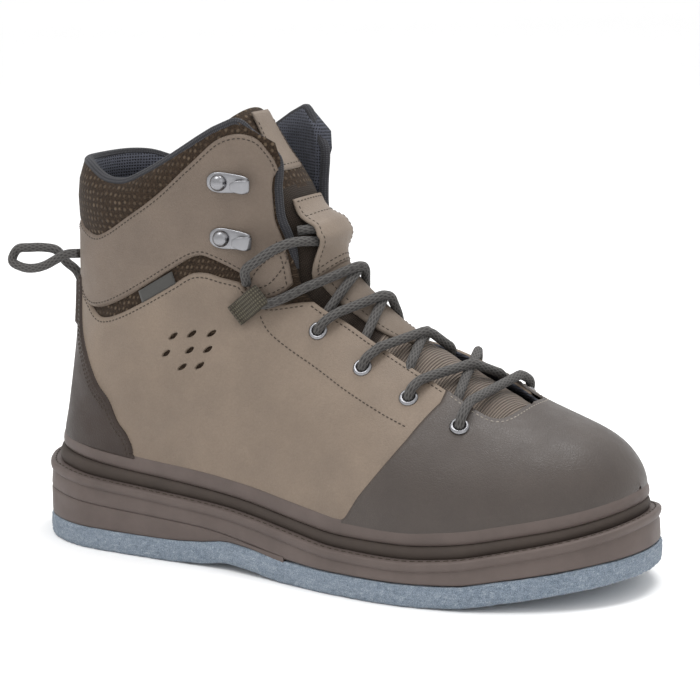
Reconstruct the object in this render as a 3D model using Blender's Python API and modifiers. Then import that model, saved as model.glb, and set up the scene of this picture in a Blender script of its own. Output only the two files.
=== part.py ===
"""Lace-up wading boot with a felt sole, right foot.

Sizes below are in millimetres. X runs from the heel (0) to the toe, Y is
negative on the outer (lateral) side, Z is up from the floor.
"""
import math

import bmesh
import bpy
import numpy as np
from mathutils import Matrix, Vector

MM = 0.001

# ---------------------------------------------------------------- sizes
SOLE_LENGTH = 315.0      # felt, heel to toe
WALL = 2.4               # leather and lining of the upper
GAP = 0.3                # between pieces that touch
LIP_INSET = 0.6          # midsole inside the felt's edge
PLATE_INSET = 5.4        # welt plate inside the felt's edge
UPPER_INSET = 8.7        # upper inside the felt's edge, at the feather line
BEAD_REACH = 2.7         # how far the bead stands off the upper
OVERLAY = 1.0            # toe cap and heel counter
INSOLE = 4.5             # footbed
TONGUE = 3.6             # padded tongue
KEEPER = 1.6             # leather keeper on the tongue
CORD = 4.6               # round lace
LOOP_CORD = 4.6          # pull loop
THROAT_END = 255.0       # toe end of the throat

OUTLINE_COLUMNS = ("x", "lateral", "medial")
OUTLINE = (
    (0.0, 0.0, 0.0),
    (6.0, 21.2, 21.2),
    (18.0, 36.6, 36.4),
    (45.0, 47.6, 46.0),
    (80.0, 49.6, 44.5),
    (115.0, 50.6, 40.5),
    (150.0, 56.0, 42.2),
    (185.0, 63.0, 50.0),
    (215.0, 65.6, 57.2),
    (245.0, 62.4, 60.0),
    (270.0, 53.6, 57.0),
    (290.0, 41.6, 48.0),
    (305.0, 26.0, 34.0),
    (312.0, 12.5, 22.0),
    (315.0, -5.0, 5.0),
)

# heights along the sole; "feather" is where the upper leaves the bead
HEIGHT_COLUMNS = ("x", "felt_bottom", "felt_top", "wedge_top", "lip", "groove", "feather")
HEIGHTS = (
    (0.0, 0.0, 10.6, 25.0, 37.6, 43.6, 51.6),
    (20.0, 0.0, 10.6, 24.0, 36.9, 42.7, 50.6),
    (50.0, 0.0, 10.6, 22.2, 34.7, 40.6, 48.6),
    (85.0, 0.0, 10.6, 20.6, 32.4, 38.0, 45.6),
    (110.0, 1.2, 12.0, 19.0, 30.4, 35.8, 43.4),
    (125.0, 3.2, 14.0, 17.2, 29.0, 34.2, 41.6),
    (140.0, 2.2, 13.0, 15.0, 27.2, 32.2, 39.6),
    (160.0, 0.0, 10.8, 11.8, 24.2, 29.2, 36.8),
    (190.0, 0.0, 10.2, 10.6, 20.8, 25.8, 33.6),
    (220.0, 0.0, 10.2, 10.6, 20.4, 25.6, 33.2),
    (245.0, 0.9, 11.0, 11.4, 22.4, 27.8, 35.4),
    (270.0, 4.3, 14.6, 15.0, 27.0, 32.2, 39.4),
    (290.0, 7.5, 17.6, 18.0, 30.8, 35.8, 43.0),
    (305.0, 9.6, 19.8, 20.2, 34.2, 39.6, 46.6),
    (315.0, 10.9, 21.0, 21.4, 37.2, 43.0, 49.4),
)

# line of the vamp over the toes, on the last's ridge
CROWN_COLUMNS = ("x", "z")
CROWN = (
    (251.0, 81.4), (262.0, 77.2), (274.0, 73.2), (284.0, 70.0), (292.0, 66.2),
    (298.0, 61.6), (302.4, 56.4), (305.2, 51.4), (306.5, 47.6),
)
TOE_STATIONS = (306.5, 305.9, 304.2, 301.2, 296.6, 290.0, 281.5, 271.5, 262.0)

# sections of the last, fanned from upright at the ball to level at the shaft:
# a point at the sole or heel, a point on the front line, the widest half
# widths (0 = taken from the sole's plan), where along the section it is
# widest, and how full it is behind and in front
SECTION_COLUMNS = ("back_x", "back_z", "front_x", "front_z", "lateral", "medial",
                   "widest", "back_full", "front_full", "centre", "medial_extra")
SECTIONS = (
    (251.0, 16.0, 251.0, 81.4, 0.0, 0.0, 0.34, 2.8, 2.00, 2.8, 0.2),
    (233.0, 12.0, 240.0, 87.0, 0.0, 0.0, 0.33, 2.8, 1.95, 3.0, 0.4),
    (208.0, 10.0, 225.5, 95.0, 0.0, 0.0, 0.33, 2.8, 1.90, 3.0, 0.6),
    (180.0, 9.0, 210.0, 103.4, 0.0, 0.0, 0.32, 2.8, 1.90, 3.0, 0.7),
    (148.0, 9.0, 195.0, 112.2, 0.0, 0.0, 0.32, 2.8, 1.92, 3.0, 0.7),
    (112.0, 10.0, 180.5, 120.8, 0.0, 0.0, 0.33, 2.8, 2.00, 2.6, 0.7),
    (72.0, 12.0, 168.5, 128.0, 0.0, 0.0, 0.34, 2.7, 2.05, 2.0, 0.6),
    (35.0, 17.0, 161.0, 134.4, 0.0, 0.0, 0.36, 2.5, 2.10, 1.2, 0.4),
    (15.2, 28.0, 157.0, 140.6, 41.0, 39.4, 0.38, 2.3, 2.10, 0.5, 0.2),
    (10.6, 44.0, 154.6, 146.4, 39.5, 38.5, 0.40, 2.2, 2.15, 0.0, 0.0),
    (12.6, 60.0, 153.8, 151.6, 38.3, 37.5, 0.42, 2.1, 2.2, 0.0, 0.0),
    (15.4, 78.0, 153.2, 156.6, 37.2, 36.6, 0.43, 2.1, 2.2, 0.0, 0.0),
    (18.4, 98.0, 152.6, 161.6, 36.8, 36.2, 0.44, 2.1, 2.2, 0.0, 0.0),
    (20.2, 120.0, 152.0, 167.4, 37.0, 36.4, 0.46, 2.1, 2.2, 0.0, 0.0),
    (21.2, 142.0, 151.4, 174.4, 38.2, 37.6, 0.47, 2.1, 2.2, 0.0, 0.0),
    (22.6, 164.0, 151.0, 183.0, 40.0, 39.4, 0.48, 2.1, 2.2, 0.0, 0.0),
    (25.0, 184.0, 150.6, 195.0, 41.4, 41.0, 0.48, 2.1, 2.2, 0.0, 0.0),
    (27.0, 206.0, 149.6, 214.0, 42.4, 42.0, 0.48, 2.1, 2.2, 0.0, 0.0),
)

# top line of the shaft
COLLAR_COLUMNS = ("x", "z")
COLLAR = (
    (18.0, 182.6), (30.0, 184.0), (38.0, 183.2), (46.0, 180.2), (54.0, 177.2),
    (64.0, 176.6), (76.0, 180.6), (90.0, 187.6), (102.0, 194.6), (111.0, 200.2),
    (119.0, 204.6), (126.0, 207.2), (132.0, 208.2), (150.0, 208.6),
)
# front edge of the flaps, seen from the side
FLAP_COLUMNS = ("z", "x")
FLAP = (
    (120.0, 172.0), (126.0, 158.0), (133.0, 151.6), (142.0, 147.2), (153.0, 144.2),
    (165.0, 141.0), (176.0, 140.8), (186.0, 141.8), (193.0, 141.6), (198.5, 139.8),
    (203.0, 136.4), (206.2, 131.6), (207.6, 126.0), (209.0, 118.0),
)


# throat half-width on each side along the front line
THROAT_COLUMNS = ("x", "lateral", "medial")
THROAT = (
    (149.0, 22.0, 22.0), (157.0, 20.8, 21.6), (174.0, 19.6, 21.2), (191.0, 21.2, 21.4),
    (209.0, 23.0, 21.8), (225.0, 24.4, 22.2), (243.0, 26.0, 23.0), (256.0, 26.0, 23.0),
)

# tongue, by section number from the toe: half-width, how far its middle
# stands in front of the front line, and how open its curve is (0 = it lies
# against the upper's lining, 1 = free)
TONGUE_COLUMNS = ("section", "half", "lift", "free")
TONGUE_ROWS = (
    (7.6, 15.0, -8.2, 0.0),
    (9.0, 21.0, -7.2, 0.0),
    (10.0, 25.0, -4.5, 0.0),
    (11.0, 26.0, -4.5, 0.0),
    (13.0, 26.0, -4.0, 0.0),
    (15.0, 25.0, 1.5, 0.0),
    (17.0, 25.0, 4.6, 0.0),
    (19.0, 25.5, 3.6, 0.0),
    (21.0, 26.0, 0.2, 0.1),
    (22.5, 26.5, -3.4, 0.4),
    (24.0, 27.5, -10.0, 1.0),
    (25.0, 28.5, -20.0, 1.0),
    (26.0, 29.0, -33.0, 1.0),
)

# rear edge of the toe cap seen from the side, and front edge of the heel counter
# by section number and share of the way from sole to ridge
EDGE_COLUMNS = ("x", "z")
TOE_EDGE = (
    (225.0, 90.6), (222.6, 80.4), (217.3, 70.8), (211.6, 62.5), (205.2, 54.2), (197.9, 45.4),
)
COUNTER_COLUMNS = ("section", "share")
COUNTER_EDGE = (
    (15.90, 0.322), (16.20, 0.349), (16.59, 0.362), (17.54, 0.355), (18.95, 0.281),
    (20.12, 0.212), (21.16, 0.149), (21.66, 0.136), (22.40, 0.136),
)

# places on the upper: section number and share of the way from sole to ridge
PLACE_COLUMNS = ("section", "share")
EYELETS = ((14.67, 0.827), (13.08, 0.791), (11.63, 0.772), (10.07, 0.747))
HOOKS = ((24.16, 0.689), (21.90, 0.693))
EYELET_LIFT = 0.5        # under side of the eyelets off the upper
KEEPER_RISE = 8.0        # inside height of the keeper's arch
TAB = 1.6                # leather tab behind the heel
WEB_WIDE, WEB_THICK, WEB_HOLE, WEB_LIFT = 10.5, 1.1, 2.75, 1.3
MIDDLE_Y = -2.75         # middle of the felt across

# ---------------------------------------------------------------- curves
def columns(names, rows):
    """A short table as one array for each named column."""
    data = np.array(rows, float)
    return {name: data[:, i] for i, name in enumerate(names)}


def smooth(xs, ys):
    """Curve through points that doesn't overshoot between them."""
    xs, ys = np.asarray(xs, float), np.asarray(ys, float)
    h = np.diff(xs)
    d = np.diff(ys) / h
    m = np.zeros_like(ys)
    m[0], m[-1] = d[0], d[-1]
    for i in range(1, len(xs) - 1):
        if d[i - 1] * d[i] > 0:
            w1, w2 = 2 * h[i] + h[i - 1], h[i] + 2 * h[i - 1]
            m[i] = (w1 + w2) / (w1 / d[i - 1] + w2 / d[i])

    def f(q):
        q = np.clip(np.asarray(q, float), xs[0], xs[-1])
        i = np.clip(np.searchsorted(xs, q) - 1, 0, len(h) - 1)
        t = (q - xs[i]) / h[i]
        return ((1 + 2 * t) * (1 - t) ** 2 * ys[i] + t * (1 - t) ** 2 * h[i] * m[i]
                + t * t * (3 - 2 * t) * ys[i + 1] + t * t * (t - 1) * h[i] * m[i + 1])
    return f


def turn(x):
    """Position along the sole as an angle, so round ends stay round."""
    return np.arccos(np.clip(1 - 2 * np.asarray(x, float) / SOLE_LENGTH, -1, 1))


_plan = columns(OUTLINE_COLUMNS, OUTLINE)
LATERAL = smooth(turn(_plan["x"]), _plan["lateral"])
MEDIAL = smooth(turn(_plan["x"]), _plan["medial"])
_high = columns(HEIGHT_COLUMNS, HEIGHTS)
HEIGHT = {name: smooth(_high["x"], _high[name]) for name in HEIGHT_COLUMNS[1:]}
_crown = columns(CROWN_COLUMNS, CROWN)
CROWN_Z = smooth(_crown["x"], _crown["z"])
_collar = columns(COLLAR_COLUMNS, COLLAR)
COLLAR_Z = smooth(_collar["x"], _collar["z"])
_flap = columns(FLAP_COLUMNS, FLAP)
FLAP_X = smooth(_flap["z"], _flap["x"])


def outline(n, inset):
    """Plan of the sole moved inward: lateral and medial points, heel to toe."""
    a = np.linspace(0, math.pi, n + 1)
    x = SOLE_LENGTH / 2 * (1 - np.cos(a))
    lat = np.c_[x, -LATERAL(a)]
    med = np.c_[x, MEDIAL(a)]
    ring = np.vstack([lat, med[-2:0:-1]])
    tangent = np.roll(ring, -1, 0) - np.roll(ring, 1, 0)
    tangent /= np.linalg.norm(tangent, axis=1)[:, None]
    ring = ring + inset * np.c_[-tangent[:, 1], tangent[:, 0]]
    return ring[:n + 1], np.vstack([ring[:1], ring[:n:-1], ring[n:n + 1]])


def plan_width(inset):
    """Half-widths of the inset plan as functions of x."""
    lat, med = outline(240, inset)
    fl = smooth(turn(lat[:, 0]), -lat[:, 1])
    keep = np.concatenate([[True], np.diff(med[:, 0]) > 1e-6])
    fm = smooth(turn(med[keep, 0]), med[keep, 1])
    return (lambda x: fl(turn(x))), (lambda x: fm(turn(x)))


_throat = columns(THROAT_COLUMNS, THROAT)
THROAT = {-1: smooth(_throat["x"], _throat["lateral"]),
          1: smooth(_throat["x"], _throat["medial"])}

# ---------------------------------------------------------------- the last
def build_rows():
    """Every section of the last, toe tip first, as named columns."""
    wl, wm = plan_width(UPPER_INSET)
    rows = []
    tip_y = 5.0
    for x in TOE_STATIONS:
        k = (TOE_STATIONS[0] - x) / (TOE_STATIONS[0] - TOE_STATIONS[-1])
        top = float(CROWN_Z(x))
        base = float(HEIGHT["groove"](x)) - 10.0 - 2.0 * k
        centre = tip_y * (1 - k) ** 1.5 + 2.6 * (1 - (1 - k) ** 1.5)
        tip = x == TOE_STATIONS[0]
        wide = (float(HEIGHT["feather"](x)) - 1.5 + 2.5 * k - base) / (top - base)
        rows.append([x, base, x, top, 0.0 if tip else float(wl(x)) + centre,
                     0.0 if tip else float(wm(x)) - centre,
                     min(wide, 0.62), 2.8, 2.0, centre, 0.2 * k])
    for r in SECTIONS:
        r = list(r)
        if r[4] == 0.0:
            # the section meets the feather line on the sole's plan
            axis = np.linspace(0, 0.9, 400)
            x = r[0] + axis * (r[2] - r[0])
            z = r[1] + axis * (r[3] - r[1])
            over = z - HEIGHT["feather"](x)
            i = int(np.argmax(over > 0))
            u = max(0.0, (r[6] - axis[i]) / r[6])
            full = (1 - u ** r[7]) ** (1 / r[7])
            r[4] = (float(wl(x[i])) + r[9]) / full
            r[5] = (float(wm(x[i])) - r[9]) / full
        rows.append(r)
    data = columns(SECTION_COLUMNS, rows)
    return data, {k: smooth(np.arange(len(rows)), v) for k, v in data.items()}


ROWS, ROW = build_rows()
LAST_ROW = len(ROWS["back_x"]) - 1
VAMP_ROW = len(TOE_STATIONS)         # first row of the table
PHI = np.linspace(0, math.pi, 121)


def section(s, side):
    """One closed section of the last on one side: points and their share of the way."""
    r = {k: float(f(s)) for k, f in ROW.items()}
    c, v = np.abs(np.cos(PHI)), np.abs(np.sin(PHI))
    back = PHI <= math.pi / 2
    front = r["front_full"] + (r["medial_extra"] if side > 0 else 0.0)
    e = np.where(back, r["back_full"], front)
    u, v = c ** (2 / e), v ** (2 / e)
    a = np.where(back, r["widest"] * (1 - u), r["widest"] + (1 - r["widest"]) * u)
    half = r["lateral"] if side < 0 else r["medial"]
    p = np.c_[r["back_x"] + a * (r["front_x"] - r["back_x"]),
              r["centre"] + side * half * v,
              r["back_z"] + a * (r["front_z"] - r["back_z"])]
    step = np.linalg.norm(np.diff(p, axis=0), axis=1)
    t = np.concatenate([[0], np.cumsum(step)])
    return p, t / t[-1]


def at(sec, t):
    p, k = sec
    return np.c_[np.interp(t, k, p[:, 0]), np.interp(t, k, p[:, 1]), np.interp(t, k, p[:, 2])]


def gap_half(s, side):
    """Half-width of the throat on a section, from the last's ridge."""
    x = float(ROW["front_x"](s))
    q = np.clip((THROAT_END - x) / 12.0, 0, 1)
    return float(THROAT[side](x)) * (1 - (1 - q) ** 3) ** (1 / 3)


def limits(s, side, level):
    """Where a section starts above the level line and ends at the throat."""
    sec = section(s, side)
    p, k = sec
    over = p[:, 2] - level(p[:, 0])
    t0 = 0.0
    if over[0] < 0:
        i = int(np.argmax(over > 0))
        t0 = cross(k, over, i)
    g = gap_half(s, side)
    if g <= 0:
        return sec, t0, 1.0
    half = len(p) // 2
    room = np.abs(p[:, 1] - float(ROW["centre"](s))) - g
    t_gap = cross(k, room, half + int(np.argmax(room[half:] < 0)))
    front = FLAP_X(p[:, 2]) - p[:, 0]
    b = np.clip((float(ROW["front_z"](s)) - 126.0) / 26.0, 0, 1)
    b = b * b * (3 - 2 * b)
    t_flap = cross(k, front, half + int(np.argmax(front[half:] < 0))) if b > 0 else t_gap
    return sec, t0, (1 - b) * t_gap + b * t_flap


def cross(k, value, i):
    """Where a sampled value changes sign before sample i."""
    w = value[i - 1] / (value[i - 1] - value[i])
    return k[i - 1] + w * (k[i] - k[i - 1])


def find_row(test, low, high):
    """The section number where a rising test passes zero."""
    for _ in range(50):
        mid = (low + high) / 2
        if test(mid) > 0:
            high = mid
        else:
            low = mid
    return (low + high) / 2


def base_level(x):
    """Lower edge of the upper; its inner edge hangs a little lower."""
    return HEIGHT["groove"](x) + 1.7


THROAT_ROW = find_row(lambda s: THROAT_END - float(ROW["front_x"](s)), 0, LAST_ROW)
HEEL_ROW = find_row(lambda s: float(ROW["back_z"](s)) - float(base_level(ROW["back_x"](s))),
                    VAMP_ROW + 4, LAST_ROW)
SHAFT_ROW = VAMP_ROW + 12.0          # rows above this bend to the collar
MIDWAY = 0.72
# lines up the side of the upper, closer where it curves round heel and feather
TAU = np.array((0.0, 0.035, 0.085, 0.16, 0.26, 0.38, 0.5, 0.62, 0.74, 0.83, 0.92, 1.0))
AROUND = len(TAU)


def collar_row(tau, side):
    """The section number where the collar's top line crosses."""
    def test(s):
        sec, t0, t1 = limits(s, side, base_level)
        p = at(sec, float(way(tau, t0, t1)))[0]
        return p[2] - float(COLLAR_Z(p[0]))
    return find_row(test, SHAFT_ROW, LAST_ROW)


def upper_rows(count):
    """Section numbers of the upper below the shaft, closer at the tight turns."""
    heel = HEEL_ROW - 3.2 * (np.linspace(1, 0, 8) ** 2)
    vamp = np.linspace(0, THROAT_ROW, 9)
    throat = THROAT_ROW + (heel[0] - THROAT_ROW) * np.linspace(0, 1, 8)[1:-1] ** 1.25
    shaft = np.linspace(HEEL_ROW, SHAFT_ROW, count)[1:]
    return np.concatenate([vamp, throat, heel, shaft])


def way(tau, t0, t1):
    """Steady lines up the side, with only the last quarter following the edge."""
    return np.where(tau <= 0.75, t0 + (MIDWAY - t0) * tau / 0.75,
                    MIDWAY + (t1 - MIDWAY) * (tau - 0.75) / 0.25)


def upper_grid(rows, tau, collar_steps, level=base_level):
    """Points of the upper's outer face: one array of rows for each side."""
    sides = {}
    for side in (-1, 1):
        grid = []
        for s in rows:
            sec, t0, t1 = limits(s, side, level)
            grid.append(at(sec, way(tau, t0, t1)))
        top = np.array([collar_row(t, side) for t in tau])
        for c in 1 - np.linspace(1, 0, collar_steps + 1)[1:] ** 1.5:
            line = []
            for t, s_top in zip(tau, top):
                s = rows[-1] + (s_top - rows[-1]) * c
                sec, t0, t1 = limits(s, side, level)
                line.append(at(sec, float(way(t, t0, t1)))[0])
            grid.append(np.array(line))
        sides[side] = np.array(grid)
    return sides


# ---------------------------------------------------------------- tongue
_tongue = columns(TONGUE_COLUMNS, TONGUE_ROWS)
TONGUE_AT = {k: smooth(_tongue["section"], v) for k, v in _tongue.items()}
TONGUE_TOP = 26.0


def axis_of(s):
    """Front point and forward direction of a section, in the X-Z plane."""
    b = np.array([float(ROW["back_x"](s)), float(ROW["back_z"](s))])
    f = np.array([float(ROW["front_x"](s)), float(ROW["front_z"](s))])
    d = f - b
    return f, d / np.linalg.norm(d)


def lining_depth(s, side, room):
    """Depth behind the front line of a curve set inside the upper, by width."""
    f, d = axis_of(s)
    p, _ = section(s, side)
    w = np.abs(p[:, 1] - float(ROW["centre"](s)))
    depth = (f[0] - p[:, 0]) * d[0] + (f[1] - p[:, 2]) * d[1]
    half = len(p) // 2
    w, depth = w[half:][::-1], depth[half:][::-1]
    tangent = np.gradient(np.c_[w, depth], axis=0)
    tangent /= np.linalg.norm(tangent, axis=1)[:, None] + 1e-12
    w2, depth2 = w - room * tangent[:, 1], depth + room * tangent[:, 0]
    keep = np.concatenate([[True], np.diff(w2) > 1e-6])
    return w2[keep], depth2[keep]


def tongue_point(s, y, out=0.0):
    """A point of the tongue's outer face, or one standing off it."""
    side = 1 if y > 0 else -1
    w = abs(y)
    f, d = axis_of(s)
    lift = float(TONGUE_AT["lift"](s))
    free = float(TONGUE_AT["free"](s))
    wi, di = lining_depth(s, side, WALL + 1.7)
    lined = float(np.interp(w, wi, di))
    middle = float(np.interp(0.0, wi, di))
    edge = max(gap_half(s, side) - 1.5, 0.0)
    bump = max(0.0, 1 - (w / edge) ** 2) ** 2 if edge > 3 else 0.0
    near = lined - (middle + lift) * bump
    open_curve = -lift + w * w / 60.0
    wide = max(open_curve, lined) + 0.8 * math.exp(-abs(open_curve - lined) / 1.5)
    depth = (1 - free) * near + free * wide - out
    return np.array([f[0] - depth * d[0], float(ROW["centre"](s)) + y, f[1] - depth * d[1]])


def tongue_grid(rows, across, out):
    """The tongue's face from under the vamp to its top edge."""
    grid = []
    for k in np.linspace(0, 1, rows):
        line = []
        for u in np.linspace(-1, 1, across):
            top = TONGUE_TOP - 0.5 * u * u
            s = 7.6 + (top - 7.6) * k
            line.append(tongue_point(s, u * float(TONGUE_AT["half"](s)), out))
        grid.append(line)
    return np.array(grid)


# ---------------------------------------------------------------- meshes
def clear_scene():
    for obj in list(bpy.data.objects):
        bpy.data.objects.remove(obj, do_unlink=True)


def material(name, colour, rough, metal=0.0):
    m = bpy.data.materials.new(name)
    m.use_nodes = True
    b = m.node_tree.nodes["Principled BSDF"]
    b.inputs["Base Color"].default_value = (*colour, 1.0)
    b.inputs["Roughness"].default_value = rough
    b.inputs["Metallic"].default_value = metal
    m.diffuse_color = (*colour, 1.0)
    return m


clear_scene()
BOOT = bpy.data.collections.new("wading_boot")
CUTTERS = bpy.data.collections.new("cutters")
bpy.context.scene.collection.children.link(BOOT)
bpy.context.scene.collection.children.link(CUTTERS)

LEATHER = material("taupe_leather", (0.19, 0.145, 0.11), 0.55)
TOE = material("toe_leather", (0.085, 0.075, 0.06), 0.5)
COUNTER = material("counter_leather", (0.05, 0.04, 0.035), 0.45)
RUBBER = material("brown_rubber", (0.09, 0.07, 0.06), 0.65)
FELT = material("blue_grey_felt", (0.22, 0.28, 0.33), 0.95)
FABRIC = material("brown_fabric", (0.08, 0.065, 0.045), 0.8)
LACE = material("grey_lace", (0.12, 0.12, 0.11), 0.8)
WEB = material("olive_webbing", (0.12, 0.11, 0.075), 0.8)
METAL = material("steel", (0.7, 0.7, 0.7), 0.25, 1.0)
FOAM = material("grey_footbed", (0.06, 0.06, 0.065), 0.9)

ORIGIN = bpy.data.objects.new("boot_origin", None)
BOOT.objects.link(ORIGIN)


def finish(name, me, mat, cutter=False):
    obj = bpy.data.objects.new(name, me)
    (CUTTERS if cutter else BOOT).objects.link(obj)
    obj.parent = ORIGIN
    if cutter:
        obj.hide_render = True
        obj.display_type = "WIRE"
    else:
        me.materials.append(mat)
    return obj


def build(name, points, faces, mat, cutter=False, middle=None):
    """A mesh from loft points in millimetres, welded and facing out.

    An open one faces away from its middle.
    """
    me = bpy.data.meshes.new(name)
    me.from_pydata([tuple(p * MM) for p in points], [], faces)
    bm = bmesh.new()
    bm.from_mesh(me)
    bmesh.ops.remove_doubles(bm, verts=bm.verts, dist=2e-6)
    bmesh.ops.recalc_face_normals(bm, faces=bm.faces)
    closed = all(len(e.link_faces) == 2 for e in bm.edges)
    if closed and bm.calc_volume(signed=True) < 0:
        bmesh.ops.reverse_faces(bm, faces=bm.faces)
    if middle is not None:
        centre = Vector(middle) * MM
        away = sum(f.normal.dot(f.calc_center_median() - centre) for f in bm.faces)
        if away < 0:
            bmesh.ops.reverse_faces(bm, faces=bm.faces)
    bm.to_mesh(me)
    bm.free()
    me.shade_smooth()
    return finish(name, me, mat, cutter)


def grid_faces(rows, cols, start=0, flip=False, low=0):
    """Triangles of a grid; the first columns take the other diagonal."""
    out = []
    for i in range(rows - 1):
        for j in range(cols - 1):
            a = start + i * cols + j
            if j < low:
                pair = ((a, a + 1, a + cols + 1), (a, a + cols + 1, a + cols))
            else:
                pair = ((a, a + 1, a + cols), (a + 1, a + cols + 1, a + cols))
            for f in pair:
                out.append(f[::-1] if flip else f)
    return out


def slab(name, rings, mat, n=30, end=None):
    """A layer of the sole: rings of the plan, each at its own inset and height."""
    last = math.pi if end is None else float(turn(end))
    pts, faces = [], []
    for inset, level, dz in rings:
        lat, med = outline_to(n, inset, last)
        for side in (lat, med):
            z = HEIGHT[level](side[:, 0]) + dz
            pts += list(np.c_[side, z])
    m = n + 1
    for r in range(len(rings) - 1):
        for half in (0, 1):
            a, b = (2 * r + half) * m, (2 * r + 2 + half) * m
            for i in range(n):
                faces.append((a + i, a + i + 1, b + i + 1, b + i))
        a, b = 2 * r * m + n, (2 * r + 2) * m + n
        if end is not None:
            faces.append((a, a + m, b + m, b))
    for base in (0, 2 * (len(rings) - 1) * m):
        for i in range(n):
            faces.append((base + i, base + i + 1, base + m + i + 1, base + m + i))
    return build(name, pts, faces, mat)


def outline_to(n, inset, last):
    """The plan up to an angle along the sole, lateral and medial."""
    full = 240
    lat, med = outline(full, inset)
    a = np.linspace(0, math.pi, full + 1)
    q = np.linspace(0, last, n + 1)
    pick = lambda p: np.c_[np.interp(q, a, p[:, 0]), np.interp(q, a, p[:, 1])]
    return pick(lat), pick(med)


def sheet(name, outer, inner, mat):
    """A closed sheet between two grids of the same size."""
    rows, cols = outer.shape[:2]
    pts = list(outer.reshape(-1, 3)) + list(inner.reshape(-1, 3))
    n = rows * cols
    faces = grid_faces(rows, cols) + grid_faces(rows, cols, n, True)
    rim = ([(0, j) for j in range(cols)] + [(i, cols - 1) for i in range(1, rows)]
           + [(rows - 1, j) for j in range(cols - 2, -1, -1)]
           + [(i, 0) for i in range(rows - 2, 0, -1)])
    ids = [i * cols + j for i, j in rim]
    for a, b in zip(ids, ids[1:] + ids[:1]):
        faces.append((a, b, b + n, a + n))
    return build(name, pts, faces, mat)


def solidify(obj, thickness, offset=-1.0):
    m = obj.modifiers.new("wall", "SOLIDIFY")
    m.thickness = thickness * MM
    m.offset = offset
    m.use_even_offset = False
    m.use_rim = True
    return m


def cut(obj, cutter, operation="DIFFERENCE"):
    m = obj.modifiers.new(operation.lower(), "BOOLEAN")
    m.operation = operation
    m.object = cutter
    m.solver = "EXACT"
    return m


# ---------------------------------------------------------------- sole
slab("felt_outsole", ((0.9, "felt_bottom", 0.0), (0.0, "felt_bottom", 1.4),
                      (0.0, "felt_top", -1.0), (0.5, "felt_top", -GAP)), FELT)
slab("heel_wedge", ((0.7, "felt_top", 0.0), (0.5, "wedge_top", -GAP)), RUBBER, 15, SOLE_LENGTH / 2)
slab("midsole", ((0.7, "wedge_top", 0.0), (1.3, "lip", -4.2),
                 (LIP_INSET, "lip", -2.6), (LIP_INSET, "lip", -GAP)), RUBBER)
slab("welt_plate", ((PLATE_INSET + 0.4, "lip", 0.0), (PLATE_INSET, "groove", -2.0),
                    (PLATE_INSET + 0.6, "groove", -GAP)), RUBBER)
slab("insole", ((14.6, "groove", GAP), (14.6, "groove", GAP + INSOLE)), FOAM, 30)

# ---------------------------------------------------------------- upper
ROW_LIST = upper_rows(7)
SIDES = upper_grid(ROW_LIST, TAU, 6)
pts, faces = [], []
for side in (-1, 1):
    grid = SIDES[side]
    start = len(pts)
    pts += list(grid.reshape(-1, 3))
    faces += grid_faces(len(grid), AROUND, start, side > 0)
upper = build("upper", pts, faces, LEATHER, middle=(120.0, 0.0, 80.0))
solidify(upper, WALL)


def last_form(name, lift):
    """The whole last, closed, on the upper's own lines: cuts what lies on it."""
    rows = np.concatenate([ROW_LIST, np.linspace(SHAFT_ROW, LAST_ROW, 9)[1:]])
    pts, faces = [], []
    count = AROUND + 6
    tops = []
    for side in (-1, 1):
        start = len(pts)
        for s in rows:
            sec, t0, t1 = limits(s, side, base_level)
            t = np.concatenate([np.linspace(0, t0, 4)[:-1], way(TAU, t0, t1),
                                np.linspace(t1, 1.0, 4)[1:]])
            pts += list(at(sec, t))
        faces += grid_faces(len(rows), count, start, side > 0, 3)
        tops.append([start + (len(rows) - 1) * count + j for j in range(count)])
    for j in range(count - 1):
        faces.append((tops[0][j], tops[0][j + 1], tops[1][j + 1], tops[1][j]))
    obj = build(name, pts, faces, None, True)
    m = obj.modifiers.new("stand_off", "DISPLACE")
    m.strength = lift * MM
    m.mid_level = 0.0
    return obj


def level_line(share, n):
    """Closed line round the upper at a level between the groove and the feather."""
    def level(x):
        return (1 - share) * (HEIGHT["groove"](x) + GAP + 0.2) + share * HEIGHT["feather"](x)
    end = find_row(lambda s: float(ROW["back_z"](s)) - float(level(ROW["back_x"](s))),
                   VAMP_ROW + 4, LAST_ROW)
    rows = np.concatenate([np.linspace(0, end - 4, 60), end - 4 * np.linspace(1, 0, 40)[1:] ** 2])
    halves = []
    for side in (-1, 1):
        line = [at(section(s, side), limits(s, side, level)[1])[0] for s in rows[:-1]]
        line.append((float(ROW["back_x"](end)), float(ROW["centre"](end)), float(ROW["back_z"](end))))
        line = np.array(line)
        k = np.concatenate([[0], np.cumsum(np.linalg.norm(np.diff(line, axis=0), axis=1))])
        q = k[-1] * (1 - np.cos(np.linspace(0, math.pi, n + 1))) / 2
        halves.append(np.c_[tuple(np.interp(q, k, line[:, i]) for i in range(3))])
    return np.vstack([halves[0], halves[1][-2:0:-1]])


# the bead: share of the way up, and how far it stands off the upper
BEAD = ((0.0, 1.4), (0.0, 2.6), (0.55, BEAD_REACH), (0.86, 2.3), (1.0, 1.4))
pts, faces = [], []
n = 30
for share, reach in BEAD:
    ring = level_line(share, n)
    tangent = np.roll(ring, -1, 0) - np.roll(ring, 1, 0)
    out = np.c_[-tangent[:, 1], tangent[:, 0], np.zeros(len(ring))]
    out /= np.linalg.norm(out, axis=1)[:, None]
    if np.dot(out[n // 2], (0.0, -1.0, 0.0)) < 0:
        out = -out
    moved = ring + reach * out
    moved[:, 2] += HEIGHT["groove"](moved[:, 0]) - HEIGHT["groove"](ring[:, 0])
    pts += list(moved)
m = 2 * n
for r in range(len(BEAD)):
    a, b = r * m, ((r + 1) % len(BEAD)) * m
    for i in range(m):
        j = (i + 1) % m
        faces.append((a + i, a + j, b + j, b + i))
build("welt_bead", pts, faces, RUBBER)

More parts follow.
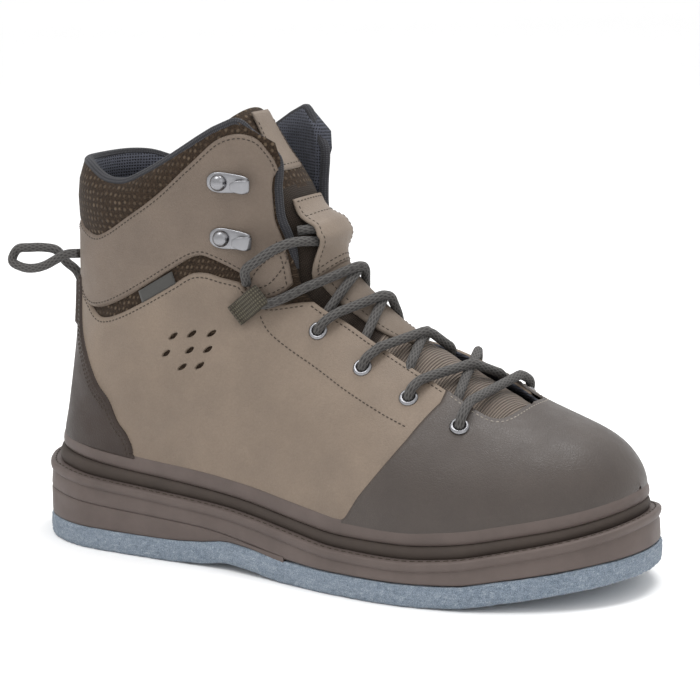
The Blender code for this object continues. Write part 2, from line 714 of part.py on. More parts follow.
# ---------------------------------------------------------------- tongue
tongue_outer = tongue_grid(22, 11, 0.0)
tongue_inner = tongue_grid(22, 11, -TONGUE)
sheet("tongue", tongue_outer, tongue_inner, FABRIC)


def keeper_point(s, y, out):
    """The keeper lies on the tongue at both ends and arches off it between."""
    f, d = axis_of(s)
    on = tongue_point(s, y, GAP + 0.3)
    mid = tongue_point(s, 0.001, 0.0)
    rise = np.clip((s - 16.9) / 1.5, 0, 1) * np.clip((21.8 - s) / 1.5, 0, 1)
    rise = rise * rise * (3 - 2 * rise)
    depth_on = (f[0] - on[0]) * d[0] + (f[1] - on[2]) * d[1]
    depth_mid = (f[0] - mid[0]) * d[0] + (f[1] - mid[2]) * d[1]
    arch = depth_mid - KEEPER_RISE + y * y / 62.0
    depth = (1 - rise) * depth_on + rise * min(arch, depth_on) - out
    return np.array([f[0] - depth * d[0], on[1], f[1] - depth * d[1]])


def keeper_grid(out):
    return np.array([[keeper_point(s, y, out)
                      for y in np.linspace(-1, 1, 7) * (15.5 - 1.2 * abs(s - 19.2) ** 0.7)]
                     for s in np.linspace(16.6, 22.7, 11)])


sheet("tongue_keeper", keeper_grid(KEEPER), keeper_grid(0.0), LEATHER)


# ---------------------------------------------------------------- overlays
def prism(name, loop, axis, low, high):
    """A flat outline (two coordinates) run along one axis: a cutting block."""
    loop = [np.asarray(p, float) for p in loop]
    n = len(loop)
    pts = []
    for level in (low, high):
        for p in loop:
            pts.append(np.array([p[0], level, p[1]] if axis == "y" else [p[0], p[1], level]))
    faces = [(i, (i + 1) % n, n + (i + 1) % n, n + i) for i in range(n)]
    faces += [tuple(range(n)), tuple(range(2 * n - 1, n - 1, -1))]
    return build(name, pts, faces, None, True)


def overlay(name, inner, outer, block, mat, opening=None):
    """A thin layer that follows the upper, between two of its own forms."""
    obj = last_form(name, outer)
    CUTTERS.objects.unlink(obj)
    BOOT.objects.link(obj)
    obj.hide_render = False
    obj.display_type = "TEXTURED"
    obj.data.materials.append(mat)
    cut(obj, block, "INTERSECT")
    cut(obj, inner)
    if opening:
        cut(obj, opening)
    return obj


def above_feather(x0, x1, n, lift):
    x = np.linspace(x0, x1, n)
    return [(a, float(HEIGHT["feather"](a)) + lift) for a in x]


skin = last_form("form_skin", GAP)
toe_block = prism("toe_block", above_feather(192.0, 330.0, 10, 0.6)
                  + [(330.0, 120.0), (228.5, 120.0)] + list(TOE_EDGE), "y", -90.0, 90.0)
throat_loop = []
rows = np.linspace(THROAT_ROW + 0.02, 12.0, 9)
for side, order in ((-1, rows[::-1]), (1, rows)):
    for s in order:
        sec, _, t1 = limits(s, side, base_level)
        q = at(sec, t1)[0]
        throat_loop.append((q[0] + 0.6 * (s < 9.0), q[1] + side * 0.9))
opening = prism("throat_block", throat_loop, "z", 60.0, 140.0)
overlay("toe_cap", skin, GAP + OVERLAY, toe_block, TOE, opening)


def counter_level(x):
    return HEIGHT["feather"](x) + 0.7


def surface(s, t, side):
    """A point of the upper's outer face with its outward normal."""
    p = at(section(s, side), t)[0]
    ds = at(section(s + 0.1, side), t)[0] - at(section(s - 0.1, side), t)[0]
    dt = at(section(s, side), t + 0.01)[0] - at(section(s, side), t - 0.01)[0]
    if t < 0.012:
        dt = np.array([0.0, side, 0.0])
    n = np.cross(ds, dt)
    n /= np.linalg.norm(n)
    toward = p - np.array([120.0, 0.0, p[2] if s > 14 else 50.0])
    return p, n * (1 if np.dot(n, toward) > 0 else -1)


COUNTER_T = smooth(*columns(COUNTER_COLUMNS, COUNTER_EDGE).values())
counter_heel = find_row(lambda s: float(ROW["back_z"](s)) - float(counter_level(ROW["back_x"](s))),
                        VAMP_ROW + 4, LAST_ROW)
rows = np.concatenate([counter_heel - (counter_heel - 15.95) * np.linspace(1, 0, 8) ** 1.6,
                       np.linspace(counter_heel, 22.3, 7)[1:]])
pts, faces = [], []
for side in (-1, 1):
    start = len(pts)
    for s in rows:
        _, t0, _ = limits(s, side, counter_level)
        edge = max(float(COUNTER_T(s)), t0 + 0.004)
        for t in np.linspace(t0, edge, 7):
            q, normal = surface(s, float(t), side)
            if t < 1e-6:
                normal = np.array([normal[0], 0.0, normal[2]]) / math.hypot(normal[0], normal[2])
            pts.append(q + normal * (GAP + 0.3))
    faces += grid_faces(len(rows), 7, start, side > 0, 7)
counter = build("heel_counter", pts, faces, COUNTER, middle=(80.0, 0.0, 80.0))
solidify(counter, OVERLAY, 1.0)
rows = np.linspace(21.2, 22.1, 4)
pts, faces = [], []
for side in (-1, 1):
    start = len(pts)
    for s in rows:
        for t in np.linspace(0, 0.088, 5):
            q, normal = surface(s, float(t), side)
            if t < 1e-6:
                normal = np.array([normal[0], 0.0, normal[2]]) / math.hypot(normal[0], normal[2])
            pts.append(q + normal * (OVERLAY + GAP * 3))
    faces += grid_faces(len(rows), 5, start, side > 0, 5)
solidify(build("back_tab", pts, faces, COUNTER, middle=(80.0, 0.0, 80.0)), TAB, 1.0)


# ---------------------------------------------------------------- hardware
def throat_t(s, side):
    return limits(s, side, base_level)[2]


def mirrored(s, t, side):
    """The same place on either side, measured from that side's own edge."""
    return t if side < 0 else throat_t(s, 1) - (throat_t(s, -1) - t)


def local(s, t, side, toward):
    """Place and axes on the face: along a direction, across it, outward."""
    p, n = surface(s, mirrored(s, t, side), side)
    u = np.array(toward, float) * (1, side, 1)
    u -= n * np.dot(u, n)
    u /= np.linalg.norm(u)
    return p, u, np.cross(n, u), n


def ring(name, place, profile, count, mat):
    """A turned ring: radius and height pairs, closed."""
    p, u, v, n = place
    pts, faces = [], []
    m = len(profile)
    for i in range(count):
        a = 2 * math.pi * i / count
        for r, h in profile:
            pts.append(p + u * r * math.cos(a) + v * r * math.sin(a) + n * h)
    for i in range(count):
        for j in range(m):
            faces.append((i * m + j, i * m + (j + 1) % m,
                          ((i + 1) % count) * m + (j + 1) % m, ((i + 1) % count) * m + j))
    return build(name, pts, faces, mat)


def ribbon(name, place, path, thick, mat):
    """A flat strip along a path of (along, height, half-width)."""
    p, u, v, n = place
    path = np.array(path, float)
    tangent = np.gradient(path[:, :2], axis=0)
    tangent /= np.linalg.norm(tangent, axis=1)[:, None]
    normal = np.c_[-tangent[:, 1], tangent[:, 0]]
    pts, faces = [], []
    for (a, h, w), (na, nh) in zip(path, normal):
        for side, k in ((-1, 0), (1, 0), (1, thick), (-1, thick)):
            pts.append(p + u * (a + na * k) + n * (h + nh * k) + v * side * w)
    for i in range(len(path) - 1):
        for j in range(4):
            a, b = i * 4 + j, i * 4 + (j + 1) % 4
            faces.append((a, b, b + 4, a + 4))
    e = (len(path) - 1) * 4
    faces += [(0, 1, 2, 3), (e, e + 3, e + 2, e + 1)]
    return build(name, pts, faces, mat)


def dome(name, place, radius, height, base):
    """A rivet head that sinks a little into its plate."""
    p, u, v, n = place
    pts, faces = [], []
    count, rings = 12, ((1.0, 0.0), (1.0, 0.3), (0.8, 0.72), (0.45, 0.95))
    for r, h in rings:
        for i in range(count):
            a = 2 * math.pi * i / count
            pts.append(p + (u * math.cos(a) + v * math.sin(a)) * r * radius + n * (base + h * height))
    for k in range(len(rings) - 1):
        for i in range(count):
            j = (i + 1) % count
            faces.append((k * count + i, k * count + j, (k + 1) * count + j, (k + 1) * count + i))
    faces.append(tuple(range(count - 1, -1, -1)))
    e = (len(rings) - 1) * count
    faces.append(tuple(range(e, e + count)))
    return build(name, pts, faces, None, True)


SIDE_NAME = {-1: "lat", 1: "med"}
EYELET_PROFILE = ((2.5, EYELET_LIFT), (4.3, EYELET_LIFT), (3.9, EYELET_LIFT + 1.1),
                  (2.7, EYELET_LIFT + 1.0))
for number, (s, t) in enumerate(EYELETS, 1):
    for side in (-1, 1):
        place = local(s, t, side, (1.0, 0.0, -0.5))
        lift = OVERLAY + GAP if number == len(EYELETS) else 0.0
        place = (place[0] + place[3] * lift,) + place[1:]
        ring(f"eyelet_{SIDE_NAME[side]}_{number}", place, EYELET_PROFILE, 10, METAL)

HOOK_PATH = ((-5.2, 0.5, 1.6), (-3.6, 0.5, 3.6), (0.0, 0.5, 4.6), (4.5, 0.5, 4.3),
             (9.0, 0.6, 3.9), (12.0, 1.2, 3.7), (13.9, 3.2, 3.5), (13.6, 5.5, 3.3),
             (11.4, 6.8, 3.0), (8.0, 6.9, 2.5), (5.4, 6.7, 1.5))
for number, (s, t) in enumerate(HOOKS, 1):
    for side in (-1, 1):
        place = local(s, t, side, (1.0, 0.3, -0.12))
        hook = ribbon(f"hook_{SIDE_NAME[side]}_{number}", place, HOOK_PATH, 1.1, METAL)
        cut(hook, dome(f"rivet_{SIDE_NAME[side]}_{number}", place, 3.3, 2.6, 0.9), "UNION")


# ---------------------------------------------------------------- lace
def tube(name, path, radius, mat, sides=7, cutter=False):
    """A round solid along a path, with flat ends."""
    path = np.array(path, float)
    tangent = np.gradient(path, axis=0)
    tangent /= np.linalg.norm(tangent, axis=1)[:, None]
    side = np.cross(tangent[0], (0.0, 0.0, 1.0))
    side /= np.linalg.norm(side)
    pts, faces = [], []
    for p, t in zip(path, tangent):
        side = side - t * np.dot(side, t)
        side /= np.linalg.norm(side)
        other = np.cross(t, side)
        for i in range(sides):
            a = 2 * math.pi * i / sides
            pts.append(p + radius * (side * math.cos(a) + other * math.sin(a)))
    for k in range(len(path) - 1):
        for i in range(sides):
            j = (i + 1) % sides
            faces.append((k * sides + i, k * sides + j, (k + 1) * sides + j, (k + 1) * sides + i))
    e = (len(path) - 1) * sides
    faces += [tuple(range(sides - 1, -1, -1)), tuple(range(e, e + sides))]
    return build(name, pts, faces, mat, cutter)


TONGUE_FACE = np.array([tongue_point(s, y) for s in np.arange(9.2, 18.6, 0.2)
                        for y in np.arange(-25.0, 25.1, 1.0)])
UPPER_FACE = np.array([at(section(s, side), np.linspace(0.68, throat_t(s, side), 28))
                       for s in np.arange(9.2, 18.6, 0.15) for side in (-1, 1)]).reshape(-1, 3)


def cover_height(s, y, lift_tongue, lift_upper):
    """How far in front of the front line a cord must lie to clear the boot."""
    f, d = axis_of(s)
    base = np.array([f[0], float(ROW["centre"](s)) + y, f[1]])
    step = np.array([d[0], 0.0, d[1]])
    near_t = TONGUE_FACE[np.abs(TONGUE_FACE - base).max(1) < 26.0]
    near_u = UPPER_FACE[np.abs(UPPER_FACE - base).max(1) < 30.0]
    high = 14.0
    while high > -22.0:
        p = base + step * (high - 0.2)
        if np.linalg.norm(near_t - p, axis=1).min() < lift_tongue:
            break
        if np.linalg.norm(near_u - p, axis=1).min() < lift_upper:
            break
        high -= 0.2
    return high


def hull(x, h):
    """Upper hull of samples: the line of a cord pulled tight over them."""
    keep = []
    for i in range(len(x)):
        while len(keep) > 1:
            a, b = keep[-2], keep[-1]
            if (h[b] - h[a]) * (x[i] - x[a]) <= (h[i] - h[a]) * (x[b] - x[a]):
                keep.pop()
            else:
                break
        keep.append(i)
    return np.interp(x, x[keep], h[keep])


def half_at(s, t, side):
    p = at(section(s, side), mirrored(s, t, side))[0]
    return p[1] - float(ROW["centre"](s))


def strand(start, end, over=0.0, knot=None, extra=0.0, count=10):
    """A cord from one side to the other, as points.

    start and end are (section, y); over lifts it where it crosses another,
    extra is what lies on the upper under it.
    """
    n = 61
    k = np.linspace(0, 1, n)
    s = start[0] + (end[0] - start[0]) * k
    y = start[1] + (end[1] - start[1]) * k
    r = CORD / 2
    high = []
    for si, yi, ki in zip(s, y, k):
        on_ring = min(abs(yi - q) for q in (start[1], end[1])) < 5.5
        on_upper = abs(yi) > gap_half(si, 1 if yi > 0 else -1)
        lift = r + (EYELET_LIFT + 1.7 if on_ring and on_upper else 0.7) + extra
        h = cover_height(si, yi, r + 0.5, lift)
        if over:
            h += over * max(0.0, 1 - ((yi - knot) / 9.0) ** 2)
        high.append(h)
    high = hull(k, np.array(high))
    for _ in range(10):
        high[1:-1] = np.maximum(high[1:-1], (high[2:] + 2 * high[1:-1] + high[:-2]) / 4)
    pts = []
    for si, yi, hi in zip(s, y, high):
        f, d = axis_of(si)
        pts.append((f[0] + hi * d[0], float(ROW["centre"](si)) + yi, f[1] + hi * d[1]))
    return resample(np.array(pts), count)


def resample(pts, count):
    step = np.linalg.norm(np.diff(pts, axis=0), axis=1)
    k = np.concatenate([[0], np.cumsum(step)])
    q = np.linspace(0, k[-1], count)
    return np.c_[np.interp(q, k, pts[:, 0]), np.interp(q, k, pts[:, 1]), np.interp(q, k, pts[:, 2])]


def edge_y(s, side, inside):
    return side * (gap_half(s, side) - inside)


# (section, share of the way) of each place a strand starts from, top first
ANCHORS = ((16.5, 0.80),) + tuple(EYELETS)
for k in range(len(ANCHORS) - 1):
    (s0, t0), (s1, _) = ANCHORS[k], ANCHORS[k + 1]
    a0 = half_at(s0, t0, -1) if k else edge_y(s0, -1, -7.5)
    b0 = half_at(s0, t0, 1) if k else edge_y(s0, 1, -7.5)
    s_end = s1 + (0.55 if k else 0.35)
    near = ((s0, a0), (s_end, edge_y(s_end, 1, 2.6)))
    far = ((s0, b0), (s_end, edge_y(s_end, -1, 2.6)))
    top = tube(f"lace_cross_{k + 1}", strand(*near, over=CORD * 0.86, knot=0.0), CORD / 2, LACE)
    under = tube(f"lace_under_{k + 1}", strand(*far), CORD / 2, LACE, cutter=True)
    cut(top, under, "UNION")
s4, t4 = EYELETS[-1]
tube("lace_bar", strand((s4, half_at(s4, t4, -1)), (s4, half_at(s4, t4, 1)),
                        extra=OVERLAY + GAP), CORD / 2, LACE)


# ---------------------------------------------------------------- loops
def web_loop(name, side):
    """Webbing folded round the lace and sewn down behind."""
    a = surface(17.4, mirrored(17.4, 0.741, side), side)[0]
    b = surface(17.5, mirrored(17.5, 0.800, side), side)[0]
    p, u, v, n = local(17.45, 0.770, side, (b - a) * (1, side, 1))
    p = p + n * 0.3
    r, q = WEB_HOLE, WEB_THICK
    reach = 6.4
    arc = np.linspace(-math.pi / 2, math.pi / 2, 7)
    outer = [(-7.0, WEB_LIFT), (-2.0, WEB_LIFT)]
    outer += [(reach + (r + q) * math.cos(x), WEB_LIFT + r + q + (r + q) * math.sin(x)) for x in arc]
    outer += [(0.5, WEB_LIFT + 2 * q + 1.6), (-3.0, WEB_LIFT + 2 * q), (-7.0, WEB_LIFT + 2 * q)]
    inner = [(reach - 6.0, WEB_LIFT + q), (reach - 3.6, WEB_LIFT + q)]
    inner += [(reach + r * math.cos(x), WEB_LIFT + r + q + r * math.sin(x)) for x in arc]
    inner += [(reach - 4.0, WEB_LIFT + q + 1.5), (reach - 6.0, WEB_LIFT + q + 0.5),
              (reach - 6.3, WEB_LIFT + q + 0.25)]
    count = len(outer)
    pts, faces = [], []
    for w in (-WEB_WIDE / 2, WEB_WIDE / 2):
        for line in (outer, inner):
            pts += [p + u * x + n * h + v * w for x, h in line]
    for i in range(count):
        j = (i + 1) % count
        faces.append((i, j, 2 * count + j, 2 * count + i))
        faces.append((count + i, 3 * count + i, 3 * count + j, count + j))
        faces.append((i, count + i, count + j, j))
        faces.append((2 * count + i, 2 * count + j, 3 * count + j, 3 * count + i))
    build(name, pts, faces, WEB)
    return p, u, v, n


def through(points, step=6.0):
    """A smooth line through a few points, with evenly spaced samples."""
    p = np.array(points, float)
    k = np.concatenate([[0], np.cumsum(np.linalg.norm(np.diff(p, axis=0), axis=1) ** 0.5)])
    out = []
    for i in range(len(p) - 1):
        for q in np.linspace(0, 1, 12, endpoint=False):
            t = k[i] + q * (k[i + 1] - k[i])
            a, b = max(i - 1, 0), min(i + 2, len(p) - 1)
            m0 = (p[i + 1] - p[a]) / (k[i + 1] - k[a])
            m1 = (p[b] - p[i]) / (k[b] - k[i])
            h = k[i + 1] - k[i]
            out.append((2 * q ** 3 - 3 * q ** 2 + 1) * p[i] + (q ** 3 - 2 * q ** 2 + q) * h * m0
                       + (3 * q ** 2 - 2 * q ** 3) * p[i + 1] + (q ** 3 - q ** 2) * h * m1)
    out.append(p[-1])
    out = np.array(out)
    length = np.linalg.norm(np.diff(out, axis=0), axis=1).sum()
    return resample(out, int(round(length / step)) + 1)


def cord(name, points, diameter, mat):
    """A cord as a bevelled curve with filled ends."""
    data = bpy.data.curves.new(name, "CURVE")
    data.dimensions = "3D"
    data.bevel_depth = diameter / 2 * MM
    data.bevel_resolution = 2
    data.use_fill_caps = True
    data.resolution_u = 1
    line = data.splines.new("POLY")
    line.points.add(len(points) - 1)
    for slot, p in zip(line.points, points):
        slot.co = (*(np.asarray(p) * MM), 1.0)
    obj = bpy.data.objects.new(name, data)
    BOOT.objects.link(obj)
    obj.parent = ORIGIN
    data.materials.append(mat)
    return obj


for side in (-1, 1):
    web_loop(f"web_loop_{SIDE_NAME[side]}", side)

# each lace goes from its webbing loop under the keeper and back inside
LACE_LOOP = (
    (128.2, -32.2, 132.9), (129.4, -35.8, 138.8), (136.4, -36.4, 144.4), (143.4, -31.5, 149.8),
    (150.0, -24.0, 152.6), (155.0, -14.0, 152.4), (159.7, -5.0, 151.7), (160.0, 3.0, 150.7),
    (156.0, 11.0, 150.2), (150.8, 17.2, 150.0),
)
LACE_LOOP_2 = (
    (126.8, 31.0, 133.5), (129.6, 36.0, 139.6), (136.6, 36.4, 146.6), (142.4, 31.0, 152.4),
    (148.6, 23.0, 155.6), (153.6, 13.0, 157.4), (157.2, 4.0, 157.8), (158.0, -4.0, 157.6),
    (155.4, -11.2, 158.0), (148.6, -16.2, 157.2),
)
cord("lace_loop_lat", through(LACE_LOOP, 8.0), CORD, LACE)
cord("lace_loop_med", through(LACE_LOOP_2, 8.0), CORD, LACE)
PULL_LOOP = (
    (17.0, -6.2, 136.0), (9.0, -6.6, 135.0), (1.0, -6.2, 131.2), (-8.0, -5.2, 127.2),
    (-18.0, -4.2, 126.2), (-25.0, -3.2, 127.8), (-27.8, -2.2, 131.0), (-25.4, -1.0, 134.2),
    (-18.0, -0.2, 135.7), (-10.0, 0.4, 136.3), (-2.0, 0.8, 135.4), (1.6, 0.8, 131.8),
    (5.6, 0.6, 128.6), (10.2, 0.2, 126.0), (13.2, 0.0, 123.0), (13.9, 0.0, 119.6),
)
cord("pull_loop", through(PULL_LOOP, 8.0), LOOP_CORD, LACE)

# the frame's origin is under the middle of the boot, cords aside
ORIGIN.location = (-SOLE_LENGTH / 2 * MM, -MIDDLE_Y * MM, 0.0)
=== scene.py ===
"""Wading boot with a felt sole, right foot: the visual model.

Sizes are in millimetres, as in the solid model: X from the heel to the toe,
Y negative on the outer side, Z up. SHIFT moves them into the shared frame.
"""
import math
import random

import bmesh
import bpy
import numpy as np
from mathutils import Matrix, Vector
from mathutils.geometry import delaunay_2d_cdt


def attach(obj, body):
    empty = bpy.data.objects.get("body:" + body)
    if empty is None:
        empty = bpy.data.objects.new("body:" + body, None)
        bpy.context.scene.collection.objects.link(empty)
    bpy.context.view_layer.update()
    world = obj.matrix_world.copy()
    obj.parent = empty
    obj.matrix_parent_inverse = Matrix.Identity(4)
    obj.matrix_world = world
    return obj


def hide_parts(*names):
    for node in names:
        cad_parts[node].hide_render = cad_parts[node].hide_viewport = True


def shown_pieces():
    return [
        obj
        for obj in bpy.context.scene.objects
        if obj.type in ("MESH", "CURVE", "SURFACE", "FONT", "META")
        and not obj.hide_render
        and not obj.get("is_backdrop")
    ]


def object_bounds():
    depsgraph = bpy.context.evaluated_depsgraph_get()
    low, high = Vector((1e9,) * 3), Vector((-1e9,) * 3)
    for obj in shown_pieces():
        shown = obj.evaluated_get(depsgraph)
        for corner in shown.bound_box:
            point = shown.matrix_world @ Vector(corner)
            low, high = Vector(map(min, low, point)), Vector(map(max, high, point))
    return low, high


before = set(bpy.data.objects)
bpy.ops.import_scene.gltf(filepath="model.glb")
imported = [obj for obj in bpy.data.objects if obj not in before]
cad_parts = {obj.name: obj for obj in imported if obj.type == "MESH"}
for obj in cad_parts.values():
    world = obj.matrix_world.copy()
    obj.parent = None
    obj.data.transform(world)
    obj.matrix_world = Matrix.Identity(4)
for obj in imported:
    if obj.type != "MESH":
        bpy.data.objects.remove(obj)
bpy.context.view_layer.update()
MM = 0.001
SHIFT = np.array([-157.5, 2.75, 0.0])
random.seed(11)
RNG = np.random.default_rng(11)

# ---------------------------------------------------------------- sizes
SOLE_LENGTH = 315.0      # felt, heel to toe
WALL = 2.4               # leather and lining of the upper
GAP = 0.3                # between pieces that touch
LIP_INSET = 0.6          # midsole inside the felt's edge
PLATE_INSET = 5.4        # welt plate inside the felt's edge
UPPER_INSET = 8.7        # upper inside the felt's edge, at the feather line
BEAD_REACH = 2.7         # how far the bead stands off the upper
OVERLAY = 1.0            # toe cap and heel counter
INSOLE = 4.5             # footbed
TONGUE = 3.6             # padded tongue
KEEPER = 1.6             # leather keeper on the tongue
CORD = 4.6               # round lace
LOOP_CORD = 4.6          # pull loop
THROAT_END = 255.0       # toe end of the throat

OUTLINE_COLUMNS = ("x", "lateral", "medial")
OUTLINE = (
    (0.0, 0.0, 0.0),
    (6.0, 21.2, 21.2),
    (18.0, 36.6, 36.4),
    (45.0, 47.6, 46.0),
    (80.0, 49.6, 44.5),
    (115.0, 50.6, 40.5),
    (150.0, 56.0, 42.2),
    (185.0, 63.0, 50.0),
    (215.0, 65.6, 57.2),
    (245.0, 62.4, 60.0),
    (270.0, 53.6, 57.0),
    (290.0, 41.6, 48.0),
    (305.0, 26.0, 34.0),
    (312.0, 12.5, 22.0),
    (315.0, -5.0, 5.0),
)

# heights along the sole; "feather" is where the upper leaves the bead
HEIGHT_COLUMNS = ("x", "felt_bottom", "felt_top", "wedge_top", "lip", "groove", "feather")
HEIGHTS = (
    (0.0, 0.0, 10.6, 25.0, 37.6, 43.6, 51.6),
    (20.0, 0.0, 10.6, 24.0, 36.9, 42.7, 50.6),
    (50.0, 0.0, 10.6, 22.2, 34.7, 40.6, 48.6),
    (85.0, 0.0, 10.6, 20.6, 32.4, 38.0, 45.6),
    (110.0, 1.2, 12.0, 19.0, 30.4, 35.8, 43.4),
    (125.0, 3.2, 14.0, 17.2, 29.0, 34.2, 41.6),
    (140.0, 2.2, 13.0, 15.0, 27.2, 32.2, 39.6),
    (160.0, 0.0, 10.8, 11.8, 24.2, 29.2, 36.8),
    (190.0, 0.0, 10.2, 10.6, 20.8, 25.8, 33.6),
    (220.0, 0.0, 10.2, 10.6, 20.4, 25.6, 33.2),
    (245.0, 0.9, 11.0, 11.4, 22.4, 27.8, 35.4),
    (270.0, 4.3, 14.6, 15.0, 27.0, 32.2, 39.4),
    (290.0, 7.5, 17.6, 18.0, 30.8, 35.8, 43.0),
    (305.0, 9.6, 19.8, 20.2, 34.2, 39.6, 46.6),
    (315.0, 10.9, 21.0, 21.4, 37.2, 43.0, 49.4),
)

# line of the vamp over the toes, on the last's ridge
CROWN_COLUMNS = ("x", "z")
CROWN = (
    (251.0, 81.4), (262.0, 77.2), (274.0, 73.2), (284.0, 70.0), (292.0, 66.2),
    (298.0, 61.6), (302.4, 56.4), (305.2, 51.4), (306.5, 47.6),
)
TOE_STATIONS = (306.5, 305.9, 304.2, 301.2, 296.6, 290.0, 281.5, 271.5, 262.0)

# sections of the last, fanned from upright at the ball to level at the shaft:
# a point at the sole or heel, a point on the front line, the widest half
# widths (0 = taken from the sole's plan), where along the section it is
# widest, and how full it is behind and in front
SECTION_COLUMNS = ("back_x", "back_z", "front_x", "front_z", "lateral", "medial",
                   "widest", "back_full", "front_full", "centre", "medial_extra")
SECTIONS = (
    (251.0, 16.0, 251.0, 81.4, 0.0, 0.0, 0.34, 2.8, 2.00, 2.8, 0.2),
    (233.0, 12.0, 240.0, 87.0, 0.0, 0.0, 0.33, 2.8, 1.95, 3.0, 0.4),
    (208.0, 10.0, 225.5, 95.0, 0.0, 0.0, 0.33, 2.8, 1.90, 3.0, 0.6),
    (180.0, 9.0, 210.0, 103.4, 0.0, 0.0, 0.32, 2.8, 1.90, 3.0, 0.7),
    (148.0, 9.0, 195.0, 112.2, 0.0, 0.0, 0.32, 2.8, 1.92, 3.0, 0.7),
    (112.0, 10.0, 180.5, 120.8, 0.0, 0.0, 0.33, 2.8, 2.00, 2.6, 0.7),
    (72.0, 12.0, 168.5, 128.0, 0.0, 0.0, 0.34, 2.7, 2.05, 2.0, 0.6),
    (35.0, 17.0, 161.0, 134.4, 0.0, 0.0, 0.36, 2.5, 2.10, 1.2, 0.4),
    (15.2, 28.0, 157.0, 140.6, 41.0, 39.4, 0.38, 2.3, 2.10, 0.5, 0.2),
    (10.6, 44.0, 154.6, 146.4, 39.5, 38.5, 0.40, 2.2, 2.15, 0.0, 0.0),
    (12.6, 60.0, 153.8, 151.6, 38.3, 37.5, 0.42, 2.1, 2.2, 0.0, 0.0),
    (15.4, 78.0, 153.2, 156.6, 37.2, 36.6, 0.43, 2.1, 2.2, 0.0, 0.0),
    (18.4, 98.0, 152.6, 161.6, 36.8, 36.2, 0.44, 2.1, 2.2, 0.0, 0.0),
    (20.2, 120.0, 152.0, 167.4, 37.0, 36.4, 0.46, 2.1, 2.2, 0.0, 0.0),
    (21.2, 142.0, 151.4, 174.4, 38.2, 37.6, 0.47, 2.1, 2.2, 0.0, 0.0),
    (22.6, 164.0, 151.0, 183.0, 40.0, 39.4, 0.48, 2.1, 2.2, 0.0, 0.0),
    (25.0, 184.0, 150.6, 195.0, 41.4, 41.0, 0.48, 2.1, 2.2, 0.0, 0.0),
    (27.0, 206.0, 149.6, 214.0, 42.4, 42.0, 0.48, 2.1, 2.2, 0.0, 0.0),
)

# top line of the shaft
COLLAR_COLUMNS = ("x", "z")
COLLAR = (
    (18.0, 182.6), (30.0, 184.0), (38.0, 183.2), (46.0, 180.2), (54.0, 177.2),
    (64.0, 176.6), (76.0, 180.6), (90.0, 187.6), (102.0, 194.6), (111.0, 200.2),
    (119.0, 204.6), (126.0, 207.2), (132.0, 208.2), (150.0, 208.6),
)
# front edge of the flaps, seen from the side
FLAP_COLUMNS = ("z", "x")
FLAP = (
    (120.0, 172.0), (126.0, 158.0), (133.0, 151.6), (142.0, 147.2), (153.0, 144.2),
    (165.0, 141.0), (176.0, 140.8), (186.0, 141.8), (193.0, 141.6), (198.5, 139.8),
    (203.0, 136.4), (206.2, 131.6), (207.6, 126.0), (209.0, 118.0),
)


# throat half-width on each side along the front line
THROAT_COLUMNS = ("x", "lateral", "medial")
THROAT = (
    (149.0, 22.0, 22.0), (157.0, 20.8, 21.6), (174.0, 19.6, 21.2), (191.0, 21.2, 21.4),
    (209.0, 23.0, 21.8), (225.0, 24.4, 22.2), (243.0, 26.0, 23.0), (256.0, 26.0, 23.0),
)

# tongue, by section number from the toe: half-width, how far its middle
# stands in front of the front line, and how open its curve is (0 = it lies
# against the upper's lining, 1 = free)
TONGUE_COLUMNS = ("section", "half", "lift", "free")
TONGUE_ROWS = (
    (7.6, 15.0, -8.2, 0.0),
    (9.0, 21.0, -7.2, 0.0),
    (10.0, 25.0, -4.5, 0.0),
    (11.0, 26.0, -4.5, 0.0),
    (13.0, 26.0, -4.0, 0.0),
    (15.0, 25.0, 1.5, 0.0),
    (17.0, 25.0, 4.6, 0.0),
    (19.0, 25.5, 3.6, 0.0),
    (21.0, 26.0, 0.2, 0.1),
    (22.5, 26.5, -3.4, 0.4),
    (24.0, 27.5, -10.0, 1.0),
    (25.0, 28.5, -20.0, 1.0),
    (26.0, 29.0, -33.0, 1.0),
)

# rear edge of the toe cap seen from the side, and front edge of the heel counter
# by section number and share of the way from sole to ridge
EDGE_COLUMNS = ("x", "z")
TOE_EDGE = (
    (225.0, 90.6), (222.6, 80.4), (217.3, 70.8), (211.6, 62.5), (205.2, 54.2), (197.9, 45.4),
)
COUNTER_COLUMNS = ("section", "share")
COUNTER_EDGE = (
    (15.90, 0.322), (16.20, 0.349), (16.59, 0.362), (17.54, 0.355), (18.95, 0.281),
    (20.12, 0.212), (21.16, 0.149), (21.66, 0.136), (22.40, 0.136),
)

# places on the upper: section number and share of the way from sole to ridge
PLACE_COLUMNS = ("section", "share")
EYELETS = ((14.67, 0.827), (13.08, 0.791), (11.63, 0.772), (10.07, 0.747))
HOOKS = ((24.16, 0.689), (21.90, 0.693))
EYELET_LIFT = 0.5        # under side of the eyelets off the upper
KEEPER_RISE = 8.0        # inside height of the keeper's arch
TAB = 1.6                # leather tab behind the heel
WEB_WIDE, WEB_THICK, WEB_HOLE, WEB_LIFT = 10.5, 1.1, 2.75, 1.3
MIDDLE_Y = -2.75         # middle of the felt across

# ---------------------------------------------------------------- curves
def columns(names, rows):
    """A short table as one array for each named column."""
    data = np.array(rows, float)
    return {name: data[:, i] for i, name in enumerate(names)}


